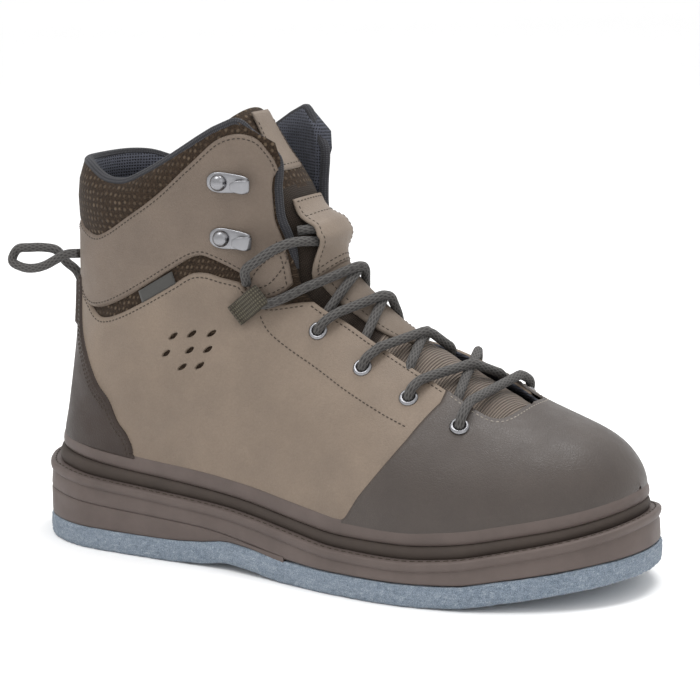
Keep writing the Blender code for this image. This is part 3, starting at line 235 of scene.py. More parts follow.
def smooth(xs, ys):
    """Curve through points that doesn't overshoot between them."""
    xs, ys = np.asarray(xs, float), np.asarray(ys, float)
    h = np.diff(xs)
    d = np.diff(ys) / h
    m = np.zeros_like(ys)
    m[0], m[-1] = d[0], d[-1]
    for i in range(1, len(xs) - 1):
        if d[i - 1] * d[i] > 0:
            w1, w2 = 2 * h[i] + h[i - 1], h[i] + 2 * h[i - 1]
            m[i] = (w1 + w2) / (w1 / d[i - 1] + w2 / d[i])

    def f(q):
        q = np.clip(np.asarray(q, float), xs[0], xs[-1])
        i = np.clip(np.searchsorted(xs, q) - 1, 0, len(h) - 1)
        t = (q - xs[i]) / h[i]
        return ((1 + 2 * t) * (1 - t) ** 2 * ys[i] + t * (1 - t) ** 2 * h[i] * m[i]
                + t * t * (3 - 2 * t) * ys[i + 1] + t * t * (t - 1) * h[i] * m[i + 1])
    return f


def turn(x):
    """Position along the sole as an angle, so round ends stay round."""
    return np.arccos(np.clip(1 - 2 * np.asarray(x, float) / SOLE_LENGTH, -1, 1))


_plan = columns(OUTLINE_COLUMNS, OUTLINE)
LATERAL = smooth(turn(_plan["x"]), _plan["lateral"])
MEDIAL = smooth(turn(_plan["x"]), _plan["medial"])
_high = columns(HEIGHT_COLUMNS, HEIGHTS)
HEIGHT = {name: smooth(_high["x"], _high[name]) for name in HEIGHT_COLUMNS[1:]}
_crown = columns(CROWN_COLUMNS, CROWN)
CROWN_Z = smooth(_crown["x"], _crown["z"])
_collar = columns(COLLAR_COLUMNS, COLLAR)
COLLAR_Z = smooth(_collar["x"], _collar["z"])
_flap = columns(FLAP_COLUMNS, FLAP)
FLAP_X = smooth(_flap["z"], _flap["x"])


def outline(n, inset):
    """Plan of the sole moved inward: lateral and medial points, heel to toe."""
    a = np.linspace(0, math.pi, n + 1)
    x = SOLE_LENGTH / 2 * (1 - np.cos(a))
    lat = np.c_[x, -LATERAL(a)]
    med = np.c_[x, MEDIAL(a)]
    ring = np.vstack([lat, med[-2:0:-1]])
    tangent = np.roll(ring, -1, 0) - np.roll(ring, 1, 0)
    tangent /= np.linalg.norm(tangent, axis=1)[:, None]
    ring = ring + inset * np.c_[-tangent[:, 1], tangent[:, 0]]
    return ring[:n + 1], np.vstack([ring[:1], ring[:n:-1], ring[n:n + 1]])


def plan_width(inset):
    """Half-widths of the inset plan as functions of x."""
    lat, med = outline(240, inset)
    fl = smooth(turn(lat[:, 0]), -lat[:, 1])
    keep = np.concatenate([[True], np.diff(med[:, 0]) > 1e-6])
    fm = smooth(turn(med[keep, 0]), med[keep, 1])
    return (lambda x: fl(turn(x))), (lambda x: fm(turn(x)))


_throat = columns(THROAT_COLUMNS, THROAT)
THROAT = {-1: smooth(_throat["x"], _throat["lateral"]),
          1: smooth(_throat["x"], _throat["medial"])}

# ---------------------------------------------------------------- the last
def build_rows():
    """Every section of the last, toe tip first, as named columns."""
    wl, wm = plan_width(UPPER_INSET)
    rows = []
    tip_y = 5.0
    for x in TOE_STATIONS:
        k = (TOE_STATIONS[0] - x) / (TOE_STATIONS[0] - TOE_STATIONS[-1])
        top = float(CROWN_Z(x))
        base = float(HEIGHT["groove"](x)) - 10.0 - 2.0 * k
        centre = tip_y * (1 - k) ** 1.5 + 2.6 * (1 - (1 - k) ** 1.5)
        tip = x == TOE_STATIONS[0]
        wide = (float(HEIGHT["feather"](x)) - 1.5 + 2.5 * k - base) / (top - base)
        rows.append([x, base, x, top, 0.0 if tip else float(wl(x)) + centre,
                     0.0 if tip else float(wm(x)) - centre,
                     min(wide, 0.62), 2.8, 2.0, centre, 0.2 * k])
    for r in SECTIONS:
        r = list(r)
        if r[4] == 0.0:
            # the section meets the feather line on the sole's plan
            axis = np.linspace(0, 0.9, 400)
            x = r[0] + axis * (r[2] - r[0])
            z = r[1] + axis * (r[3] - r[1])
            over = z - HEIGHT["feather"](x)
            i = int(np.argmax(over > 0))
            u = max(0.0, (r[6] - axis[i]) / r[6])
            full = (1 - u ** r[7]) ** (1 / r[7])
            r[4] = (float(wl(x[i])) + r[9]) / full
            r[5] = (float(wm(x[i])) - r[9]) / full
        rows.append(r)
    data = columns(SECTION_COLUMNS, rows)
    return data, {k: smooth(np.arange(len(rows)), v) for k, v in data.items()}


ROWS, ROW = build_rows()
LAST_ROW = len(ROWS["back_x"]) - 1
VAMP_ROW = len(TOE_STATIONS)         # first row of the table
PHI = np.linspace(0, math.pi, 121)


def section(s, side):
    """One closed section of the last on one side: points and their share of the way."""
    r = {k: float(f(s)) for k, f in ROW.items()}
    c, v = np.abs(np.cos(PHI)), np.abs(np.sin(PHI))
    back = PHI <= math.pi / 2
    front = r["front_full"] + (r["medial_extra"] if side > 0 else 0.0)
    e = np.where(back, r["back_full"], front)
    u, v = c ** (2 / e), v ** (2 / e)
    a = np.where(back, r["widest"] * (1 - u), r["widest"] + (1 - r["widest"]) * u)
    half = r["lateral"] if side < 0 else r["medial"]
    p = np.c_[r["back_x"] + a * (r["front_x"] - r["back_x"]),
              r["centre"] + side * half * v,
              r["back_z"] + a * (r["front_z"] - r["back_z"])]
    step = np.linalg.norm(np.diff(p, axis=0), axis=1)
    t = np.concatenate([[0], np.cumsum(step)])
    return p, t / t[-1]


def at(sec, t):
    p, k = sec
    return np.c_[np.interp(t, k, p[:, 0]), np.interp(t, k, p[:, 1]), np.interp(t, k, p[:, 2])]


def gap_half(s, side):
    """Half-width of the throat on a section, from the last's ridge."""
    x = float(ROW["front_x"](s))
    q = np.clip((THROAT_END - x) / 12.0, 0, 1)
    return float(THROAT[side](x)) * (1 - (1 - q) ** 3) ** (1 / 3)


def limits(s, side, level):
    """Where a section starts above the level line and ends at the throat."""
    sec = section(s, side)
    p, k = sec
    over = p[:, 2] - level(p[:, 0])
    t0 = 0.0
    if over[0] < 0:
        i = int(np.argmax(over > 0))
        t0 = cross(k, over, i)
    g = gap_half(s, side)
    if g <= 0:
        return sec, t0, 1.0
    half = len(p) // 2
    room = np.abs(p[:, 1] - float(ROW["centre"](s))) - g
    t_gap = cross(k, room, half + int(np.argmax(room[half:] < 0)))
    front = FLAP_X(p[:, 2]) - p[:, 0]
    b = np.clip((float(ROW["front_z"](s)) - 126.0) / 26.0, 0, 1)
    b = b * b * (3 - 2 * b)
    t_flap = cross(k, front, half + int(np.argmax(front[half:] < 0))) if b > 0 else t_gap
    return sec, t0, (1 - b) * t_gap + b * t_flap


def cross(k, value, i):
    """Where a sampled value changes sign before sample i."""
    w = value[i - 1] / (value[i - 1] - value[i])
    return k[i - 1] + w * (k[i] - k[i - 1])


def find_row(test, low, high):
    """The section number where a rising test passes zero."""
    for _ in range(50):
        mid = (low + high) / 2
        if test(mid) > 0:
            high = mid
        else:
            low = mid
    return (low + high) / 2


def base_level(x):
    """Lower edge of the upper; its inner edge hangs a little lower."""
    return HEIGHT["groove"](x) + 1.7


THROAT_ROW = find_row(lambda s: THROAT_END - float(ROW["front_x"](s)), 0, LAST_ROW)
HEEL_ROW = find_row(lambda s: float(ROW["back_z"](s)) - float(base_level(ROW["back_x"](s))),
                    VAMP_ROW + 4, LAST_ROW)
SHAFT_ROW = VAMP_ROW + 12.0          # rows above this bend to the collar
MIDWAY = 0.72
# lines up the side of the upper, closer where it curves round heel and feather
TAU = np.array((0.0, 0.035, 0.085, 0.16, 0.26, 0.38, 0.5, 0.62, 0.74, 0.83, 0.92, 1.0))
AROUND = len(TAU)


def collar_row(tau, side):
    """The section number where the collar's top line crosses."""
    def test(s):
        sec, t0, t1 = limits(s, side, base_level)
        p = at(sec, float(way(tau, t0, t1)))[0]
        return p[2] - float(COLLAR_Z(p[0]))
    return find_row(test, SHAFT_ROW, LAST_ROW)


def upper_rows(count):
    """Section numbers of the upper below the shaft, closer at the tight turns."""
    heel = HEEL_ROW - 3.2 * (np.linspace(1, 0, 8) ** 2)
    vamp = np.linspace(0, THROAT_ROW, 9)
    throat = THROAT_ROW + (heel[0] - THROAT_ROW) * np.linspace(0, 1, 8)[1:-1] ** 1.25
    shaft = np.linspace(HEEL_ROW, SHAFT_ROW, count)[1:]
    return np.concatenate([vamp, throat, heel, shaft])


def way(tau, t0, t1):
    """Steady lines up the side, with only the last quarter following the edge."""
    return np.where(tau <= 0.75, t0 + (MIDWAY - t0) * tau / 0.75,
                    MIDWAY + (t1 - MIDWAY) * (tau - 0.75) / 0.25)


def upper_grid(rows, tau, collar_steps, level=base_level):
    """Points of the upper's outer face: one array of rows for each side."""
    sides = {}
    for side in (-1, 1):
        grid = []
        for s in rows:
            sec, t0, t1 = limits(s, side, level)
            grid.append(at(sec, way(tau, t0, t1)))
        top = np.array([collar_row(t, side) for t in tau])
        for c in 1 - np.linspace(1, 0, collar_steps + 1)[1:] ** 1.5:
            line = []
            for t, s_top in zip(tau, top):
                s = rows[-1] + (s_top - rows[-1]) * c
                sec, t0, t1 = limits(s, side, level)
                line.append(at(sec, float(way(t, t0, t1)))[0])
            grid.append(np.array(line))
        sides[side] = np.array(grid)
    return sides


# ---------------------------------------------------------------- tongue
_tongue = columns(TONGUE_COLUMNS, TONGUE_ROWS)
TONGUE_AT = {k: smooth(_tongue["section"], v) for k, v in _tongue.items()}
TONGUE_TOP = 26.0


def axis_of(s):
    """Front point and forward direction of a section, in the X-Z plane."""
    b = np.array([float(ROW["back_x"](s)), float(ROW["back_z"](s))])
    f = np.array([float(ROW["front_x"](s)), float(ROW["front_z"](s))])
    d = f - b
    return f, d / np.linalg.norm(d)


def lining_depth(s, side, room):
    """Depth behind the front line of a curve set inside the upper, by width."""
    f, d = axis_of(s)
    p, _ = section(s, side)
    w = np.abs(p[:, 1] - float(ROW["centre"](s)))
    depth = (f[0] - p[:, 0]) * d[0] + (f[1] - p[:, 2]) * d[1]
    half = len(p) // 2
    w, depth = w[half:][::-1], depth[half:][::-1]
    tangent = np.gradient(np.c_[w, depth], axis=0)
    tangent /= np.linalg.norm(tangent, axis=1)[:, None] + 1e-12
    w2, depth2 = w - room * tangent[:, 1], depth + room * tangent[:, 0]
    keep = np.concatenate([[True], np.diff(w2) > 1e-6])
    return w2[keep], depth2[keep]


def tongue_point(s, y, out=0.0):
    """A point of the tongue's outer face, or one standing off it."""
    side = 1 if y > 0 else -1
    w = abs(y)
    f, d = axis_of(s)
    lift = float(TONGUE_AT["lift"](s))
    free = float(TONGUE_AT["free"](s))
    wi, di = lining_depth(s, side, WALL + 1.7)
    lined = float(np.interp(w, wi, di))
    middle = float(np.interp(0.0, wi, di))
    edge = max(gap_half(s, side) - 1.5, 0.0)
    bump = max(0.0, 1 - (w / edge) ** 2) ** 2 if edge > 3 else 0.0
    near = lined - (middle + lift) * bump
    open_curve = -lift + w * w / 60.0
    wide = max(open_curve, lined) + 0.8 * math.exp(-abs(open_curve - lined) / 1.5)
    depth = (1 - free) * near + free * wide - out
    return np.array([f[0] - depth * d[0], float(ROW["centre"](s)) + y, f[1] - depth * d[1]])


def tongue_grid(rows, across, out):
    """The tongue's face from under the vamp to its top edge."""
    grid = []
    for k in np.linspace(0, 1, rows):
        line = []
        for u in np.linspace(-1, 1, across):
            top = TONGUE_TOP - 0.5 * u * u
            s = 7.6 + (top - 7.6) * k
            line.append(tongue_point(s, u * float(TONGUE_AT["half"](s)), out))
        grid.append(line)
    return np.array(grid)


def throat_t(s, side):
    return limits(s, side, base_level)[2]


def mirrored(s, t, side):
    """The same place on either side, measured from that side's own edge."""
    return t if side < 0 else throat_t(s, 1) - (throat_t(s, -1) - t)


def keeper_point(s, y, out):
    """The keeper lies on the tongue at both ends and arches off it between."""
    f, d = axis_of(s)
    on = tongue_point(s, y, GAP + 0.3)
    mid = tongue_point(s, 0.001, 0.0)
    rise = np.clip((s - 16.9) / 1.5, 0, 1) * np.clip((21.8 - s) / 1.5, 0, 1)
    rise = rise * rise * (3 - 2 * rise)
    depth_on = (f[0] - on[0]) * d[0] + (f[1] - on[2]) * d[1]
    depth_mid = (f[0] - mid[0]) * d[0] + (f[1] - mid[2]) * d[1]
    arch = depth_mid - KEEPER_RISE + y * y / 62.0
    depth = (1 - rise) * depth_on + rise * min(arch, depth_on) - out
    return np.array([f[0] - depth * d[0], on[1], f[1] - depth * d[1]])


TONGUE_FACE = np.array([tongue_point(s, y) for s in np.arange(9.2, 18.6, 0.2)
                        for y in np.arange(-25.0, 25.1, 1.0)])
UPPER_FACE = np.array([at(section(s, side), np.linspace(0.68, throat_t(s, side), 28))
                       for s in np.arange(9.2, 18.6, 0.15) for side in (-1, 1)]).reshape(-1, 3)


def cover_height(s, y, lift_tongue, lift_upper):
    """How far in front of the front line a cord must lie to clear the boot."""
    f, d = axis_of(s)
    base = np.array([f[0], float(ROW["centre"](s)) + y, f[1]])
    step = np.array([d[0], 0.0, d[1]])
    near_t = TONGUE_FACE[np.abs(TONGUE_FACE - base).max(1) < 26.0]
    near_u = UPPER_FACE[np.abs(UPPER_FACE - base).max(1) < 30.0]
    high = 14.0
    while high > -22.0:
        p = base + step * (high - 0.2)
        if np.linalg.norm(near_t - p, axis=1).min() < lift_tongue:
            break
        if np.linalg.norm(near_u - p, axis=1).min() < lift_upper:
            break
        high -= 0.2
    return high


def hull(x, h):
    """Upper hull of samples: the line of a cord pulled tight over them."""
    keep = []
    for i in range(len(x)):
        while len(keep) > 1:
            a, b = keep[-2], keep[-1]
            if (h[b] - h[a]) * (x[i] - x[a]) <= (h[i] - h[a]) * (x[b] - x[a]):
                keep.pop()
            else:
                break
        keep.append(i)
    return np.interp(x, x[keep], h[keep])


def half_at(s, t, side):
    p = at(section(s, side), mirrored(s, t, side))[0]
    return p[1] - float(ROW["centre"](s))


def strand(start, end, over=0.0, knot=None, extra=0.0, count=10):
    """A cord from one side to the other, as points.

    start and end are (section, y); over lifts it where it crosses another,
    extra is what lies on the upper under it.
    """
    n = 61
    k = np.linspace(0, 1, n)
    s = start[0] + (end[0] - start[0]) * k
    y = start[1] + (end[1] - start[1]) * k
    r = CORD / 2
    high = []
    for si, yi, ki in zip(s, y, k):
        on_ring = min(abs(yi - q) for q in (start[1], end[1])) < 5.5
        on_upper = abs(yi) > gap_half(si, 1 if yi > 0 else -1)
        lift = r + (EYELET_LIFT + 1.7 if on_ring and on_upper else 0.7) + extra
        h = cover_height(si, yi, r + 0.5, lift)
        if over:
            h += over * max(0.0, 1 - ((yi - knot) / 9.0) ** 2)
        high.append(h)
    high = hull(k, np.array(high))
    for _ in range(10):
        high[1:-1] = np.maximum(high[1:-1], (high[2:] + 2 * high[1:-1] + high[:-2]) / 4)
    pts = []
    for si, yi, hi in zip(s, y, high):
        f, d = axis_of(si)
        pts.append((f[0] + hi * d[0], float(ROW["centre"](si)) + yi, f[1] + hi * d[1]))
    return resample(np.array(pts), count)


def resample(pts, count):
    step = np.linalg.norm(np.diff(pts, axis=0), axis=1)
    k = np.concatenate([[0], np.cumsum(step)])
    q = np.linspace(0, k[-1], count)
    return np.c_[np.interp(q, k, pts[:, 0]), np.interp(q, k, pts[:, 1]), np.interp(q, k, pts[:, 2])]


def edge_y(s, side, inside):
    return side * (gap_half(s, side) - inside)


def through(points, step=6.0):
    """A smooth line through a few points, with evenly spaced samples."""
    p = np.array(points, float)
    k = np.concatenate([[0], np.cumsum(np.linalg.norm(np.diff(p, axis=0), axis=1) ** 0.5)])
    out = []
    for i in range(len(p) - 1):
        for q in np.linspace(0, 1, 12, endpoint=False):
            t = k[i] + q * (k[i + 1] - k[i])
            a, b = max(i - 1, 0), min(i + 2, len(p) - 1)
            m0 = (p[i + 1] - p[a]) / (k[i + 1] - k[a])
            m1 = (p[b] - p[i]) / (k[b] - k[i])
            h = k[i + 1] - k[i]
            out.append((2 * q ** 3 - 3 * q ** 2 + 1) * p[i] + (q ** 3 - 2 * q ** 2 + q) * h * m0
                       + (3 * q ** 2 - 2 * q ** 3) * p[i + 1] + (q ** 3 - q ** 2) * h * m1)
    out.append(p[-1])
    out = np.array(out)
    length = np.linalg.norm(np.diff(out, axis=0), axis=1).sum()
    return resample(out, int(round(length / step)) + 1)


def level_line(share, n):
    """Closed line round the upper at a level between the groove and the feather."""
    def level(x):
        return (1 - share) * (HEIGHT["groove"](x) + GAP + 0.2) + share * HEIGHT["feather"](x)
    end = find_row(lambda s: float(ROW["back_z"](s)) - float(level(ROW["back_x"](s))),
                   VAMP_ROW + 4, LAST_ROW)
    rows = np.concatenate([np.linspace(0, end - 4, 60), end - 4 * np.linspace(1, 0, 40)[1:] ** 2])
    halves = []
    for side in (-1, 1):
        line = [at(section(s, side), limits(s, side, level)[1])[0] for s in rows[:-1]]
        line.append((float(ROW["back_x"](end)), float(ROW["centre"](end)), float(ROW["back_z"](end))))
        line = np.array(line)
        k = np.concatenate([[0], np.cumsum(np.linalg.norm(np.diff(line, axis=0), axis=1))])
        q = k[-1] * (1 - np.cos(np.linspace(0, math.pi, n + 1))) / 2
        halves.append(np.c_[tuple(np.interp(q, k, line[:, i]) for i in range(3))])
    return np.vstack([halves[0], halves[1][-2:0:-1]])


def counter_level(x):
    return HEIGHT["feather"](x) + 0.7


LACE_LOOP = (
    (128.2, -32.2, 132.9), (129.4, -35.8, 138.8), (136.4, -36.4, 144.4), (143.4, -31.5, 149.8),
    (150.0, -24.0, 152.6), (155.0, -14.0, 152.4), (159.7, -5.0, 151.7), (160.0, 3.0, 150.7),
    (156.0, 11.0, 150.2), (150.8, 17.2, 150.0),
)
LACE_LOOP_2 = (
    (126.8, 31.0, 133.5), (129.6, 36.0, 139.6), (136.6, 36.4, 146.6), (142.4, 31.0, 152.4),
    (148.6, 23.0, 155.6), (153.6, 13.0, 157.4), (157.2, 4.0, 157.8), (158.0, -4.0, 157.6),
    (155.4, -11.2, 158.0), (148.6, -16.2, 157.2),
)
PULL_LOOP = (
    (17.0, -6.2, 136.0), (9.0, -6.6, 135.0), (1.0, -6.2, 131.2), (-8.0, -5.2, 127.2),
    (-18.0, -4.2, 126.2), (-25.0, -3.2, 127.8), (-27.8, -2.2, 131.0), (-25.4, -1.0, 134.2),
    (-18.0, -0.2, 135.7), (-10.0, 0.4, 136.3), (-2.0, 0.8, 135.4), (1.6, 0.8, 131.8),
    (5.6, 0.6, 128.6), (10.2, 0.2, 126.0), (13.2, 0.0, 123.0), (13.9, 0.0, 119.6),
)
BEAD = ((0.0, 1.4), (0.0, 2.6), (0.55, BEAD_REACH), (0.86, 2.3), (1.0, 1.4))
ANCHORS = ((16.5, 0.80),) + tuple(EYELETS)

# ---------------------------------------------------------------- places
def lift_off(points):
    """Millimetre points in the shared frame, in metres."""
    return (np.asarray(points, float) + SHIFT) * MM


NS, NT = 261, 161
S_AX = np.linspace(0, LAST_ROW, NS)
T_AX = np.linspace(0, 1, NT)


def smoothstep(x, a, b):
    q = np.clip((np.asarray(x, float) - a) / (b - a), 0, 1)
    return q * q * (3 - 2 * q)


# soft dents and folds of the leather: section and share at
# each end, how deep, how wide in millimetres
CREASE_COLUMNS = ("s0", "t0", "s1", "t1", "deep", "wide")
CREASES = (
    (20.0, 0.62, 17.2, 0.74, 0.9, 7.0),
    (18.6, 0.44, 15.4, 0.66, 0.8, 9.0),
    (16.4, 0.42, 14.0, 0.60, 0.5, 8.0),
    (12.6, 0.44, 12.2, 0.66, 0.5, 8.0),
    (22.6, 0.30, 23.0, 0.56, 0.7, 8.0),
    (24.6, 0.62, 22.6, 0.74, 0.5, 6.0),
    (19.4, 0.16, 17.6, 0.30, 0.5, 7.0),
    (13.6, 0.56, 11.9, 0.70, 0.35, 5.0),
)


def last_surface():
    out = {}
    for side in (-1, 1):
        p = np.array([at(section(s, side), T_AX) for s in S_AX])
        ds, dt = np.gradient(p, axis=0), np.gradient(p, axis=1)
        n = np.cross(ds, dt)
        middle = p.mean(axis=1, keepdims=True)
        middle[..., 1] = 0.0
        n *= np.where((n * (p - middle)).sum(-1, keepdims=True) < 0, -1, 1)
        n[:, -1, 1] = 0.0
        high = np.array([float(ROW["back_z"](s)) > 44 for s in S_AX])
        n[high, 0, 1] = 0.0
        length = np.linalg.norm(n, axis=-1, keepdims=True)
        n = n / np.maximum(length, 1e-9)
        n[0] = n[1]
        deep = np.zeros(p.shape[:2])
        for s0, t0, s1, t1, d, w in CREASES:
            a = np.array([np.interp(s0, S_AX, range(NS)), np.interp(t0, T_AX, range(NT))])
            b = np.array([np.interp(s1, S_AX, range(NS)), np.interp(t1, T_AX, range(NT))])
            pa, pb = p[int(a[0]), int(a[1])], p[int(b[0]), int(b[1])]
            ab = pb - pa
            k = np.clip(((p - pa) @ ab) / (ab @ ab), -0.3, 1.3)
            gap = np.linalg.norm(p - (pa + k[..., None] * ab), axis=-1)
            fade = smoothstep(k, -0.3, 0.15) * (1 - smoothstep(k, 0.85, 1.3))
            q = gap / w
            deep += -d * fade * np.exp(-q * q * 2.2) + 0.45 * d * fade * np.exp(-((q - 1.3) ** 2) * 3)
        out[side] = (p + n * deep[..., None], n)
    return out


SKIN = last_surface()


def skin(side, s, t, lift=0.0):
    """Points on the boot's outer face and their normals."""
    s, t = np.broadcast_arrays(np.asarray(s, float), np.asarray(t, float))
    fs = np.clip(s / LAST_ROW * (NS - 1), 0, NS - 1.000001)
    ft = np.clip(t * (NT - 1), 0, NT - 1.000001)
    i, j = fs.astype(int), ft.astype(int)
    a, b = (fs - i)[..., None], (ft - j)[..., None]
    res = []
    for g in SKIN[side]:
        res.append((1 - a) * ((1 - b) * g[i, j] + b * g[i, j + 1])
                   + a * ((1 - b) * g[i + 1, j] + b * g[i + 1, j + 1]))
    n = res[1] / np.maximum(np.linalg.norm(res[1], axis=-1, keepdims=True), 1e-9)
    return res[0] + n * np.asarray(lift, float)[..., None] if np.ndim(lift) else res[0] + n * lift, n


_edge_s = np.concatenate([THROAT_ROW + np.linspace(0.002, 1.0, 60) ** 2, np.linspace(THROAT_ROW + 1.05, LAST_ROW, 110)])
THROAT_T = {side: np.array([throat_t(s, side) for s in _edge_s]) for side in (-1, 1)}


def edge_t(side, s):
    return np.interp(s, _edge_s, THROAT_T[side])


def both(side, s, t):
    """The outer side's share of the way, moved so it keeps its distance from the throat."""
    if side < 0:
        return np.asarray(t, float)
    shift = edge_t(1, s) - edge_t(-1, s)
    return np.asarray(t, float) + shift * smoothstep(t, 0.45, 0.75) * (np.asarray(s) > 8.9)


# ---------------------------------------------------------------- meshes
SHOWN = bpy.data.collections.new("visual")
bpy.context.scene.collection.children.link(SHOWN)


def put(name, verts, faces, mat, uv=None, smooth_faces=True, weld=True):
    """A finished piece from millimetre points, riding on the boot."""
    me = bpy.data.meshes.new(name)
    me.from_pydata([tuple(p) for p in lift_off(verts)], [], [tuple(int(i) for i in f) for f in faces])
    me.validate()
    if uv is not None:
        layer = me.uv_layers.new(name="UVMap")
        idx = np.empty(len(me.loops), dtype=np.int32)
        me.loops.foreach_get("vertex_index", idx)
        layer.data.foreach_set("uv", np.asarray(uv, float)[idx].astype(np.float32).ravel())
    bm = bmesh.new()
    bm.from_mesh(me)
    if weld:
        bmesh.ops.remove_doubles(bm, verts=bm.verts, dist=2e-6)
    bmesh.ops.recalc_face_normals(bm, faces=bm.faces)
    bm.to_mesh(me)
    bm.free()
    if smooth_faces:
        me.shade_smooth()
    obj = bpy.data.objects.new(name, me)
    SHOWN.objects.link(obj)
    for m in (mat if isinstance(mat, (list, tuple)) else [mat]):
        me.materials.append(m)
    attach(obj, "root")
    return obj


def grid(rows, cols, start=0, closed=False):
    out = []
    for i in range(rows - 1):
        for j in range(cols if closed else cols - 1):
            a, b = start + i * cols + j, start + i * cols + (j + 1) % cols
            out.append((a, b, b + cols, a + cols))
    return out


def face_out(obj, middle):
    """Turns an open piece's faces away from a point in millimetres."""
    centre = Vector(lift_off([middle])[0])
    bm = bmesh.new()
    bm.from_mesh(obj.data)
    if sum(f.normal.dot(f.calc_center_median() - centre) * f.calc_area() for f in bm.faces) < 0:
        bmesh.ops.reverse_faces(bm, faces=bm.faces)
    bm.to_mesh(obj.data)
    bm.free()
    return obj


def dense(points, step, closed=False):
    """Evenly spaced points along a polyline, in the units it came in."""
    p = np.array(points, float)
    if closed:
        p = np.vstack([p, p[:1]])
    k = np.concatenate([[0], np.cumsum(np.linalg.norm(np.diff(p, axis=0), axis=1))])
    n = max(2, int(round(k[-1] / step)) + 1)
    q = np.linspace(0, k[-1], n)
    out = np.c_[tuple(np.interp(q, k, p[:, i]) for i in range(p.shape[1]))]
    return out[:-1] if closed else out


def curve_through(points, step, closed=False):
    """A smooth line through a few points, evenly sampled."""
    p = np.array(points, float)
    n = len(p)
    if closed:
        p = np.vstack([p[-1], p, p[:2]])
    else:
        p = np.vstack([2 * p[0] - p[1], p, 2 * p[-1] - p[-2]])
    out = []
    for i in range(1, len(p) - 2):
        a, b, c, d = p[i - 1], p[i], p[i + 1], p[i + 2]
        k = [0.0]
        for u, v in ((a, b), (b, c), (c, d)):
            k.append(k[-1] + max(np.linalg.norm(v - u), 1e-6) ** 0.5)
        for t in np.linspace(k[1], k[2], 14, endpoint=False):
            a1 = (k[1] - t) / (k[1] - k[0]) * a + (t - k[0]) / (k[1] - k[0]) * b
            a2 = (k[2] - t) / (k[2] - k[1]) * b + (t - k[1]) / (k[2] - k[1]) * c
            a3 = (k[3] - t) / (k[3] - k[2]) * c + (t - k[2]) / (k[3] - k[2]) * d
            b1 = (k[2] - t) / (k[2] - k[0]) * a1 + (t - k[0]) / (k[2] - k[0]) * a2
            b2 = (k[3] - t) / (k[3] - k[1]) * a2 + (t - k[1]) / (k[3] - k[1]) * a3
            out.append((k[2] - t) / (k[2] - k[1]) * b1 + (t - k[1]) / (k[2] - k[1]) * b2)
    if not closed:
        out.append(p[-2])
    return dense(out, step, closed)


def chart(st):
    """Section and share as rough millimetres on the flat, for spacing only."""
    st = np.asarray(st, float)
    return np.c_[st[:, 0] * 9.0, st[:, 1] * 165.0]


def unchart(uv):
    return np.c_[uv[:, 0] / 9.0, uv[:, 1] / 165.0]


def inside(poly, q):
    """Which points lie in a closed outline."""
    x, y = q[:, 0], q[:, 1]
    hit = np.zeros(len(q), bool)
    x0, y0 = poly[-1]
    for x1, y1 in poly:
        cond = (y1 > y) != (y0 > y)
        with np.errstate(divide="ignore", invalid="ignore"):
            xi = (x0 - x1) * (y - y1) / (y0 - y1) + x1
        hit ^= cond & (x < xi)
        x0, y0 = x1, y1
    return hit


def inset_line(side, line, distance, closed):
    """A line on the boot moved sideways by millimetres, as section and share.

    Positive moves it to the left of its direction, seen from outside.
    """
    st = np.asarray(line, float)
    p, n = skin(side, st[:, 0], st[:, 1])
    if closed:
        tan = np.roll(p, -1, 0) - np.roll(p, 1, 0)
    else:
        tan = np.gradient(p, axis=0)
    tan /= np.maximum(np.linalg.norm(tan, axis=1, keepdims=True), 1e-9)
    move = np.cross(n, tan) * distance
    e = 0.02
    ps = (skin(side, st[:, 0] + e, st[:, 1])[0] - skin(side, st[:, 0] - e, st[:, 1])[0]) / (2 * e)
    pt = (skin(side, st[:, 0], st[:, 1] + 0.004)[0] - skin(side, st[:, 0], st[:, 1] - 0.004)[0]) / 0.008
    a = np.stack([(ps * ps).sum(1), (ps * pt).sum(1), (pt * pt).sum(1)], 1)
    r1, r2 = (ps * move).sum(1), (pt * move).sum(1)
    det = np.maximum(a[:, 0] * a[:, 2] - a[:, 1] ** 2, 1e-6)
    d1 = (r1 * a[:, 2] - r2 * a[:, 1]) / det
    d2 = (r2 * a[:, 0] - r1 * a[:, 1]) / det
    return st + np.c_[np.clip(d1, -2, 2), np.clip(d2, -0.2, 0.2)]


def winding(side, loop):
    """+1 if the loop runs anticlockwise seen from outside the boot."""
    p, n = skin(side, loop[:, 0], loop[:, 1])
    c = p.mean(0)
    area = np.cross(p - c, np.roll(p, -1, 0) - c).sum(0)
    return 1.0 if area @ n.mean(0) > 0 else -1.0


